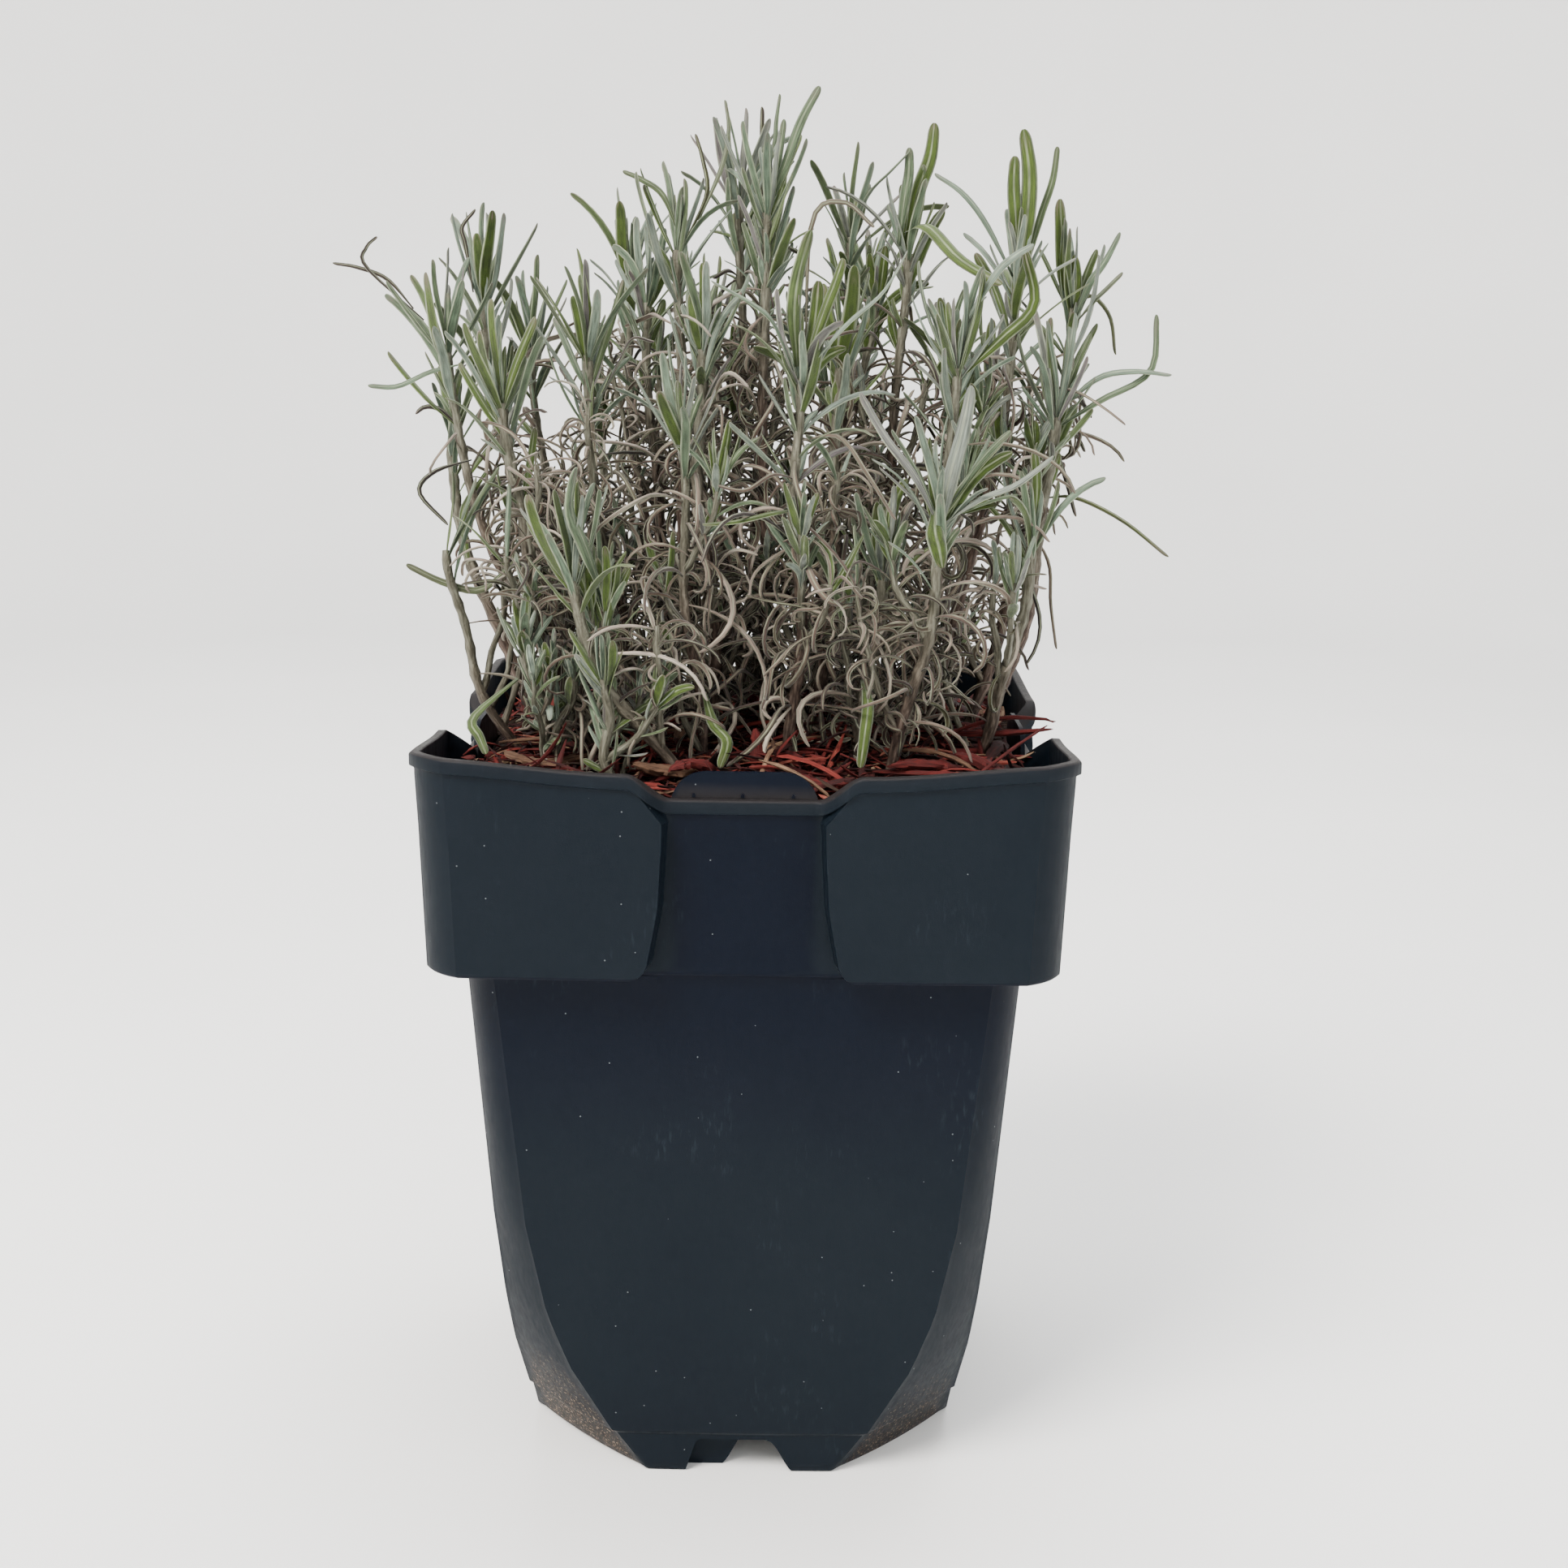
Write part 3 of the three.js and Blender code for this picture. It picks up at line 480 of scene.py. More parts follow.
# Half the gap between two panels as far as the body is concerned.
BODY_GAP = 21.0
# The radius of a panel's lower corner, and how much higher the rim is at a panel's outer end.
PANEL_CORNER = 5.5
PANEL_RISE = 3.5
# How deep the rim dips in the middle of each side, and where the slope starts and ends.
DIP = 11.0
DIP_FROM, DIP_TO = 19.0, 30.0
# How far each side bows out in its middle.
BOW = 1.2
LIP_DEPTH = 3.6
FLOOR_UNDER, FLOOR_TOP = 11.6, 13.4
# Each foot's arch: half its width, its height, and how far right of the middle it is.
ARCH_HALF, ARCH_TALL, ARCH_X = 6.0, 10.5, 5
# Where the cutters for the feet start, outside the pot's wall.
FOOT_CUT = -66
# The label tab: half its width, how much it rises above its foot, its thickness and its front face.
TAB_HALF, TAB_RISE, TAB_THICK, TAB_FACE = 18.8, 11, 1.2, -78.6
# The drain holes: their radius, and how far from both middle lines they are.
HOLE_RADIUS, HOLE_AT = 4.5, 34


def pot_spec(z, inward=0.0):
    """Half widths, corner cut and panel gap at height z, moved in from the outer face."""
    if z < COLLAR_BOTTOM:
        half, cut = lookup(BODY, z)
        return half, half, cut, BODY_GAP, inward
    half, middle = lookup(COLLAR, z)
    rise = z - COLLAR_BOTTOM
    gap = lookup(PANEL_GAP, z)[0]
    if rise < PANEL_CORNER:
        gap += PANEL_CORNER - math.sqrt(PANEL_CORNER ** 2 - (PANEL_CORNER - rise) ** 2)
    return half, middle, COLLAR_CUT, gap, inward


def rim_height(t):
    """The rim's top at a distance t from the middle of a side."""
    out = abs(t)
    panel = POT_HEIGHT - PANEL_RISE * (1 - smoothstep(DIP_TO, COLLAR[1][1], out))
    dipped = POT_HEIGHT - DIP
    return dipped + (panel - dipped) * smoothstep(DIP_FROM, DIP_TO, out)


def pot_ring(spec, height, edge=1.2):
    """One ring round the pot. height is a number, or a function of the distance from a side's middle.

    edge is how wide a panel's inner edge is: crisp on the collar, and a broad sweep at the rim.
    Each side is drawn from its left corner to its middle and mirrored.
    """
    half, middle, cut, gap, inward = spec
    a, m = half - inward, middle - inward
    c = max(cut - inward * 0.6, 1.0)
    inner = gap + inward
    step = inner + edge
    # The corners are half rounded at the collar and rim, and nearly flat facets by the feet.
    crisp = 0.5 if callable(height) else 0.5 + 0.34 * smoothstep(110, 60, height)

    def bow(t):
        """How far the side bows out at a distance t from its middle."""
        return BOW * math.cos(math.pi / 2 * min(1.0, abs(t) / a))

    left = []
    for k in range(10):
        share = 0.5 + 0.05 * k
        turn = share * math.pi / 2
        straight = (-(a - c) - c * (1 - share), a - c * (1 - share))
        rounded = (-(a - c) - c * math.cos(turn), a - c + c * math.sin(turn))
        left.append(tuple(crisp * p + (1 - crisp) * q for p, q in zip(straight, rounded)))
    for share in (1.0, 0.85, 0.68, 0.5, 0.35, 0.25, 0.18, 0.13, 0.09, 0.055, 0.02):
        t = step + share * (a - c - step)
        left.append((-t, a + bow(t) * (1 if share < 1 else 0.6)))
    for k in range(9):
        t = step - k * (step - inner) / 8
        fall = smoothstep(0, 8, k)
        left.append((-t, a + (m - a) * fall + bow(t)))
    left.extend((-inner * share, m + bow(inner * share)) for share in (0.97, 0.93, 0.88, 0.82, 0.7, 0.4))
    side = left + [(0.0, m + bow(0))] + [(-t, d) for t, d in reversed(left[1:])]
    ring = []
    for quarter in range(4):
        for t, d in side:
            z = height(t) if callable(height) else height
            ring.append((*turned(t, -d, quarter), z))
    return ring


def pot_shell(wall, lip):
    """The pot without its feet, holes and tabs, as one closed lofted solid."""
    rings = [pot_ring(pot_spec(z, inset), z) for z, inset in ((0, 0.8), (0.25, 0.25), (0.8, 0))]
    rings += [pot_ring(pot_spec(z), z) for z in (3, 6, 9, 11.4, 11.8, 12.1, 12.5, 12.9, 13.2, 14)]
    z = 18.0
    while z < COLLAR_BOTTOM - 3:
        rings.append(pot_ring(pot_spec(z), z))
        z += 5
    body = pot_spec(COLLAR_BOTTOM - 1e-6)
    rings.append(pot_ring(body, COLLAR_BOTTOM - 1.2))
    collar = pot_spec(COLLAR_BOTTOM)
    # The ledge under the collar: a small fillet, the flat underside, then the panel's rounded lower edge.
    for out, rise in (
            (0.03, -0.5), (0.1, -0.12), (0.25, 0), (0.6, 0), (0.86, 0.05), (0.95, 0.3), (0.99, 0.75)):
        low = (body[0], body[0], body[2], collar[3], 0)
        high = pot_spec(COLLAR_BOTTOM + max(rise, 0))
        mixed = [p + out * (q - p) for p, q in zip(low[:3], high[:3])]
        rings.append(pot_ring((*mixed, high[3], 0), COLLAR_BOTTOM + rise))
    rings += [pot_ring(pot_spec(COLLAR_BOTTOM + rise), COLLAR_BOTTOM + rise) for rise in (
        1.2, 1.8, 2.5, 3.3, 4.2, 5.2, 6.4, 8, 10, 13, 16, 20, 25, 30, 35, 39)]
    top = pot_spec(POT_HEIGHT)

    def rim(out, drop, edge=8.5):
        """A ring a distance out from the panels and a drop below the rim's top."""
        return pot_ring((*top[:4], -out), lambda t: rim_height(t) - drop, edge)

    rings.append(rim(0, LIP_DEPTH + 2.2, 1.5))
    for share, drop, edge in (
            (0, 1.0, 5), (0.08, 0.4, 7), (0.4, 0.1, 8), (0.9, 0, 8.5), (1, -0.3, 8.5), (1, -2.9, 8.5)):
        rings.append(rim(lip * share, LIP_DEPTH + drop, edge))
    for out, drop in (
            (lip - 0.12, 0.35), (lip - 0.4, 0.1), (lip - 0.9, 0), (0.4 - wall, 0), (0.1 - wall, 0.2)):
        rings.append(rim(out, drop))
    rings += [rim(-wall, 0.7), rim(-wall, 4.5), rim(-wall, 9, 4)]
    ledge = COLLAR_BOTTOM + wall
    rings += [pot_ring(pot_spec(z, wall), z) for z in (190, 182, 175, 168, 163, 159, 156.5, ledge + 0.2)]
    low = pot_spec(COLLAR_BOTTOM - 1e-6, wall)
    rings.append(pot_ring((low[0], low[1], low[2], pot_spec(ledge)[3], wall), ledge - 0.2))
    rings += [pot_ring(pot_spec(z, wall), z) for z in (140, 110, 78, 51, 34, FLOOR_TOP + 2, FLOOR_TOP)]
    return lofted(rings)


def paint_rim_highlight_and_shade(pot):
    """Marks each vertex with how much painted highlight and painted shade it gets.

    The rim's top edge gets the painted highlight. The body under the collar and the set-back middles get
    painted shade.
    """
    values = []
    for vertex in pot.data.vertices:
        x, y, z = (c / MM for c in vertex.co)
        wide, narrow = max(abs(x), abs(y)), min(abs(x), abs(y))
        # Painted highlight: a narrow band along the rim's top edge.
        edge = rim_height(narrow)
        painted_rim_highlight = smoothstep(edge - 0.9, edge - 0.1, z) * (z < edge + 0.3)
        # Painted shade: on the body it deepens from 80 to 150 mm up, under the collar, and on the collar it
        # lies in the set-back middles.
        if z < COLLAR_BOTTOM + 1:
            painted_shade_share = smoothstep(80, 150, z)
        else:
            painted_shade_share = smoothstep(20, 17, narrow) * (wide < 80)
        values += [painted_rim_highlight, painted_shade_share, 0.0, 0.0]
    layers = pot.data.color_attributes
    layer = layers.get("vertex_values") or layers.new("vertex_values", "FLOAT_COLOR", "POINT")
    layer.data.foreach_set("color", values)


def extruded(outline, depth):
    """A closed solid: an outline in X and Z, counterclockwise seen from -Y, run back along +Y."""
    n = len(outline)
    shape = Shape()
    faces = [tuple(range(n)), tuple(reversed(range(n, 2 * n)))]
    faces += [(i + n, (i + 1) % n + n, (i + 1) % n, i) for i in range(n)]
    shape.add([(x, 0, z) for x, z in outline] + [(x, depth, z) for x, z in outline], faces)
    return shape


def bezier(p, q, r, s, steps=8):
    """Points on a cubic curve, without its first."""
    points = []
    for k in range(1, steps + 1):
        t = k / steps
        w = ((1 - t) ** 3, 3 * t * (1 - t) ** 2, 3 * t * t * (1 - t), t ** 3)
        points.append(tuple(w[0] * a + w[1] * b + w[2] * c + w[3] * d for a, b, c, d in zip(p, q, r, s)))
    return points


def on_all_sides(shape, shift):
    """Four copies of a shape, moved by shift and turned to face each side of the pot."""
    around = Shape()
    for quarter in range(4):
        moved = [(x + shift[0], y + shift[1], z + shift[2]) for x, y, z in shape.vertices]
        around.add([(*turned(x, y, quarter), z) for x, y, z in moved], shape.faces)
    return around


def foot_recess():
    """The shallow recess in each foot, to the left of its drainage arch."""
    left, tall = -12.4, ARCH_TALL
    shoulder = bezier(
        (left - 0.6, tall - 2.4), (left - 0.3, tall - 0.8), (left + 0.4, tall), (left + 2.2, tall))
    outline = [(left - 3.4, -1), (left - 0.6, tall - 2.4)] + shoulder + [(ARCH_X, tall), (ARCH_X, -1)]
    return on_all_sides(extruded(outline[::-1], 8), (0, FOOT_CUT, 0))


def foot_arch():
    """The bell-shaped drainage arch through each foot."""
    w, tall = ARCH_HALF, ARCH_TALL
    half = [(w + 5.4, -1)] + bezier((w + 5.4, -1), (w + 1.2, 1), (w + 0.2, tall), (w * 0.3, tall), 14)
    outline = half + [(-x, z) for x, z in reversed(half)]
    return on_all_sides(extruded(outline, 20), (ARCH_X, FOOT_CUT, 0))


def label_tab():
    """The label tab on the inner edge of each dip, with three small ticks at its foot."""
    foot = POT_HEIGHT - DIP - 4
    top = foot + TAB_RISE
    half = [(TAB_HALF, foot), (TAB_HALF, foot + 4)]
    half += bezier((TAB_HALF, foot + 4), (17.4, foot + 8.4), (14.4, top), (9.5, top), 12)
    tab = extruded(half + [(-x, z) for x, z in reversed(half)], TAB_THICK)
    for x in (-13, -0.5, 12.5):
        tick = bezier((x + 0.5, 4.4), (x + 0.5, 5.8), (x - 0.5, 5.8), (x - 0.5, 4.4), 6)
        tick = extruded([(x + 0.5, 4.4)] + tick, 0.35)
        tab.add([(a, b - 0.3, c + foot) for a, b, c in tick.vertices], tick.faces)
    return on_all_sides(tab, (0, TAB_FACE, 0))


def drain_holes():
    """The four round holes in the pot's base."""
    angles = [k * math.pi / 12 for k in range(24)]
    ring = [(HOLE_RADIUS * math.cos(a), HOLE_RADIUS * math.sin(a)) for a in angles]
    hole = lofted([[(HOLE_AT + x, HOLE_AT + y, z) for x, y in ring] for z in (9.0, 16.0)])
    return on_all_sides(hole, (0, 0, 0))


def pot_underside():
    """The hollow under the base, inside the foot ring."""
    low, high = pot_spec(0, 6.0), pot_spec(FLOOR_UNDER, 8.0)
    narrow = pot_spec(FLOOR_UNDER, 9.0)
    return lofted([pot_ring(low, -1), pot_ring(high, FLOOR_UNDER - 0.8), pot_ring(narrow, FLOOR_UNDER)])


def carve(piece, cutter, operation):
    """Cuts a shape out of a piece, or joins it on, for good."""
    tool = cutter.object("cutter", [])
    modifier = piece.modifiers.new("carve", "BOOLEAN")
    modifier.operation = operation
    modifier.solver = "MANIFOLD"
    modifier.object = tool
    evaluated = piece.evaluated_get(bpy.context.evaluated_depsgraph_get())
    carved = bpy.data.meshes.new_from_object(evaluated)
    piece.modifiers.remove(modifier)
    old, piece.data = piece.data, carved
    carved.name = piece.name
    bpy.data.meshes.remove(old)
    bpy.data.objects.remove(tool)


class LAVENDER_OT_pot(bpy.types.Operator):
    """Mould the nursery pot with its collar, feet, drainage arches and label tabs"""

    bl_idname = "lavender.pot"
    bl_label = "Nursery Pot"

    def execute(self, context):
        settings = context.scene.lavender_pot
        plastic = moulded_polypropylene(settings.plastic, settings.dust)
        pot = pot_shell(settings.wall, settings.lip).object("moulded_nursery_pot", [plastic])
        for cutter in (pot_underside(), foot_recess(), foot_arch(), drain_holes()):
            carve(pot, cutter, "DIFFERENCE")
        carve(pot, label_tab(), "UNION")
        paint_rim_highlight_and_shade(pot)
        pot.data.polygons.foreach_set("use_smooth", [True] * len(pot.data.polygons))
        pot.data.set_sharp_from_angle(angle=math.radians(30))
        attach(pot, "root")
        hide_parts("nursery_pot")
        return {"FINISHED"}


# ---------- Compost and mulch ----------

# The mulch's height at the rim, how much higher it is in the middle, and a heap at the right.
MULCH_EDGE, MULCH_DOME, RIGHT_HEAP = 199, 6, 4


def ground(x, y):
    """The height of the mulch, with low heaps, in millimetres."""
    out = min(1.0, math.hypot(x, y) / 70)
    heaps = 1.1 * math.sin(x / 9 + 1.3) * math.cos(y / 8 - 0.4) + 0.8 * math.sin((x + y) / 6)
    right_heap = RIGHT_HEAP * math.exp(-(((x - 62) / 20) ** 2) - ((y - 6) / 30) ** 2)
    return MULCH_EDGE + MULCH_DOME * (1 - out * out) + heaps + right_heap


def inside_pot(x, y, margin):
    """True if a point is inside the collar's walls, a margin away from them."""
    a = 82.0 - margin
    gap = 75.5 - margin
    if max(abs(x), abs(y)) > a or abs(x) + abs(y) > 2 * a - 6:
        return False
    return not ((abs(x) < 24 and abs(y) > gap) or (abs(y) < 24 and abs(x) > gap))


def root_ball(wall):
    """The compost with the roots in it, moulded by the inside of the pot."""
    gap = wall + 0.5
    heights = (FLOOR_TOP + 0.5, 18, 26, 34, 51, 78, 110, 140, COLLAR_BOTTOM - 1)
    heights += (COLLAR_BOTTOM + wall + 1, 160, 168, COMPOST_TOP)
    return lofted([pot_ring(pot_spec(z, gap), z) for z in heights])


BED_RINGS = 41


def mulch_bed():
    """Fine crumbs and fibres under the shreds: a closed, lumpy bed that fills the pot from wall to wall."""
    rings = []
    brim = pot_ring(pot_spec(COMPOST_TOP, 2.0), 0)
    rings.append([(x, y, COMPOST_TOP + 0.4) for x, y, _ in brim])
    for step in range(BED_RINGS):
        share = 1 - step / (BED_RINGS + 1)
        ring = []
        for x, y, _ in brim:
            px, py = x * share, y * share
            lump = noise.fractal(Vector((px, py, 3.0)) / 5, 1.0, 2.0, 4) * 1.6
            ring.append((px, py, ground(px, py) - 2.6 + (lump if step else 0)))
        rings.append(ring)
    return lofted(rings)


def shred(shape, rng, middle, heading, up, length, width, thickness, tone, rings=6, sides=6):
    """Adds one torn shred of bark: a flat, twisted splinter with ragged ends."""
    along = heading.normalized()
    across = up.cross(along).normalized()
    normal = along.cross(across)
    bend = rng.uniform(-0.12, 0.12) * length
    twist = rng.uniform(-0.7, 0.7)
    vertices, values = [], []
    offset = rng.uniform(0, 40)
    for r in range(rings):
        s = r / (rings - 1)
        taper = (0.35 + 0.65 * math.sin(math.pi * (0.1 + 0.8 * s))) * rng.uniform(0.8, 1.15)
        if r in (0, rings - 1):
            taper *= rng.uniform(0.35, 0.8)
        centre = middle + along * (s - 0.5) * length + normal * bend * (1 - (2 * s - 1) ** 2)
        turn = Quaternion(along, twist * (s - 0.5))
        for k in range(sides):
            angle = 2 * math.pi * k / sides
            rag = rng.uniform(0.78, 1.2)
            spoke = across * math.cos(angle) * width / 2 * taper * rag
            spoke = spoke + normal * math.sin(angle) * thickness / 2 * taper * rag
            vertices.append(centre + turn @ spoke + along * rng.uniform(-0.03, 0.03) * length)
            values.append((s * length / 12, k / sides, tone, offset))
    shape.add(vertices, tube_faces(rings, sides), values)


# The shares of the shreds that are broad and that are undyed, and the tone of the larger pieces.
CHUNKY_SHARE, BROWN_SHARE, MID_TONE = 0.16, 0.13, 0.4


def scattered_shreds(count, seed):
    """Loose shreds strewn over the bed in layers, dyed and undyed."""
    rng = random.Random(seed)
    dyed, brown = Shape(), Shape()
    for i in range(count):
        x, y = rng.uniform(-80, 80), rng.uniform(-80, 80)
        azimuth = rng.uniform(0, math.pi)
        length = min(30.0, 6 + rng.expovariate(1 / 7.0))
        width = rng.uniform(0.6, 1.8) + (rng.random() < CHUNKY_SHARE) * rng.uniform(1, 3.5)
        tilt = rng.gauss(0, 0.16) if rng.random() < 0.9 else rng.uniform(-0.8, 0.8)
        level = math.cos(tilt)
        heading = Vector((math.cos(azimuth) * level, math.sin(azimuth) * level, math.sin(tilt)))
        ends = [(x + side * heading.x * length / 2, y + side * heading.y * length / 2) for side in (-1, 1)]
        if not all(inside_pot(ex, ey, 1.5) for ex, ey in ends):
            continue
        z = ground(x, y) - 1.6 + 3.4 * (i / count) + abs(heading.z) * length / 3
        up = Vector((rng.gauss(0, 0.3), rng.gauss(0, 0.3), 1))
        brownish = rng.random() < BROWN_SHARE
        tone = rng.random() ** 1.8
        thickness = min(width * 0.6, rng.uniform(0.5, 1.3))
        shred(brown if brownish else dyed, rng, Vector((x, y, z)), heading, up, length, width, thickness,
              tone)
    for start_at, end, width, is_dyed in LONG_PIECES:
        line = Vector(end) - Vector(start_at)
        middle = (Vector(start_at) + Vector(end)) / 2
        shred(dyed if is_dyed else brown, rng, middle, line, Vector((0, 0, 1)), line.length, width,
              width * 0.7, MID_TONE, rings=12, sides=8)
    return dyed, brown


# Long splinters and twigs that lie on top: both ends, width, and whether each is dyed.
LONG_PIECES = [
    ((-69, -26, 204.5), (-17, -18, 207), 2.2, False),
    ((-62, -34, 204), (-30, -40, 206), 1.6, True),
    ((-58, -46, 202), (-40, -34, 205), 4.5, False),
    ((3, -48, 200), (2, -46, 213), 4.0, True),
    ((34, -52, 203), (60, -58, 204), 2.2, True),
    ((52, -14, 207), (84, -30, 211), 2.6, True),
    ((55, -20, 206), (86, -24, 212), 2.0, True),
    ((58, -62, 202), (82, -36, 213), 1.2, True),
    ((61, -53, 204), (40, -40, 206), 2.0, False),
    ((-24, -58, 201), (-8, -50, 205), 2.6, True),
    ((14, -60, 201), (28, -50, 205), 2.2, True),
]


# Large chips: length, width, thickness, turn and tilt in degrees, and whether each is dyed.
CHIPS = [
    ((17, 7, 3.5), 12, 4, False),
    ((15, 5, 3), 38, 7, True),
    ((11, 4, 2.5), 60, 12, True),
    ((20, 5, 3), -18, 5, True),
    ((22, 6, 3), 24, 6, True),
    ((18, 5, 3), -40, 8, True),
    ((20, 5, 2.5), -30, 5, False),
    ((18, 6, 3), 50, 5, True),
    ((20, 6, 3), -48, 6, True),
]


class LAVENDER_OT_mulch(bpy.types.Operator):
    """Fill the pot with compost and strew the bark mulch over it"""

    bl_idname = "lavender.mulch"
    bl_label = "Compost and Mulch"

    def execute(self, context):
        compost = potting_compost()
        dyed_bark = shredded_bark("dyed shredded bark", DYED_BARK)
        brown_bark = shredded_bark("undyed shredded bark", BROWN_BARK)
        wall = context.scene.lavender_pot.wall
        for shape, name, node_name in (
                (root_ball(wall), "potted_compost", "compost_root_ball"),
                (mulch_bed(), "mulch_bed", "bark_mulch")):
            piece = shape.object(name, [compost])
            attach(piece, "root")
            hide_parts(node_name)
        settings = context.scene.lavender_mulch
        dyed, brown = scattered_shreds(settings.shreds, settings.seed)
        for shape, name, material, slot in (
                (dyed, "dyed_bark_shreds", dyed_bark, "dyed_bark"),
                (brown, "brown_bark_shreds", brown_bark, "brown_bark")):
            shreds = shape.object(name, [material], smooth=50)
            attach(shreds, "root")
        for number, (size, turn, tilt, is_dyed) in enumerate(CHIPS, 1):
            node_name = f"bark_chip_{number:02d}"
            low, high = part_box(node_name)
            middle = Vector([(a + b) / 2 / MM for a, b in zip(low, high)])
            rng = random.Random(number)
            a, b = math.radians(turn), math.radians(tilt)
            heading = Vector((math.cos(a) * math.cos(b), math.sin(a) * math.cos(b), -math.sin(b)))
            shape = Shape()
            shred(shape, rng, middle, heading, Vector((0, 0, 1)), *size, MID_TONE, rings=16, sides=12)
            bark = dyed_bark if is_dyed else brown_bark
            chip = shape.object(f"bark_block_{number:02d}", [bark], smooth=40)
            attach(chip, "root")
            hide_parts(node_name)
        return {"FINISHED"}


# ---------- Lavender ----------

# Each shoot: where it leaves the compost, where its growing tip is, and how it grows.
SHOOTS = [
    ((-32, -20), (-86, -5, 312), "tuft"),
    ((-40, 2), (-78, 14, 326), "tuft"),
    ((-36, -32), (-68, -24, 298), "tuft"),
    ((-24, -14), (-46, -12, 311), "tuft"),
    ((-24, 18), (-32, 24, 326), "tuft"),
    ((-12, 0), (-22, 0, 340), "tuft"),
    ((-3, 14), (-5, 14, 354), "tuft"),
    ((4, -6), (3, -6, 350), "tuft"),
    ((15, 16), (27, 18, 345), "tuft"),
    ((26, 2), (43, 4, 340), "tuft"),
    ((44, -4), (73, -2, 331), "tuft"),
    ((56, 10), (91, 14, 326), "tuft"),
    ((68, 32), (84, -14, 296), "tuft"),
    ((38, -20), (55, -30, 309), "tuft"),
    ((11, -36), (13, -44, 306), "tuft"),
    ((18, -16), (24, -14, 310), "tuft"),
    ((35, -37), (50, -52, 272), "tuft"),
    ((-9, -18), (-14, -20, 313), "tuft"),
    ((-11, -33), (-18, -36, 288), "grey"),
    ((-3, -46), (-46, -56, 254), "grey"),
    ((-48, -28), (-60, -44, 236), "low"),
    ((-32, -46), (-38, -58, 228), "low"),
    ((-26, 36), (-39, 46, 334), "tuft"),
    ((50, 24), (70, 34, 300), "grey"),
    ((24, -28), (36, -34, 254), "grey"),
    ((0, 34), (2, 44, 342), "tuft"),
    ((24, 38), (34, 50, 330), "tuft"),
    ((-46, 28), (-68, 40, 312), "tuft"),
    ((44, 42), (60, 60, 304), "tuft"),
    ((-8, 50), (-14, 66, 316), "tuft"),
    ((-36, 50), (-50, 68, 290), "tuft"),
    ((18, 54), (24, 68, 298), "tuft"),
    ((-54, 10), (-90, 22, 284), "grey"),
    ((-58, -8), (-84, -26, 258), "grey"),
    ((60, -14), (76, -34, 262), "grey"),
]
# The height of the shoots' feet, under the mulch.
PLANTED = 185.0
STEM_MATERIAL, LEAF_MATERIAL = 0, 1
# How far below its tip each kind of shoot starts to die back, in millimetres.
DIES_AT = {"tuft": 24, "grey": 12, "low": 60}
SIDE_DIES_AT, DRY_SIDE_DIES_AT = 14, 3
# A stem whose leaves die less than this far below its tip, in millimetres, is dead to the tip.
DRY = 5
# The widest gap between pairs of leaves and the height of the lowest pair: on low shoots, then on the others.
LOW_JOINTS, TALL_JOINTS = (5.5, 201), (7.5, 210)
# The share of living leaves that are broad and green.
BROAD_SHARE = 0.24

# The age, from 0 to 1, at which a leaf has dried thin.
WITHERED = 0.6
# How deep the groove along a leaf's middle is, as a share of its width.
MIDRIB_GROOVE = 0.07

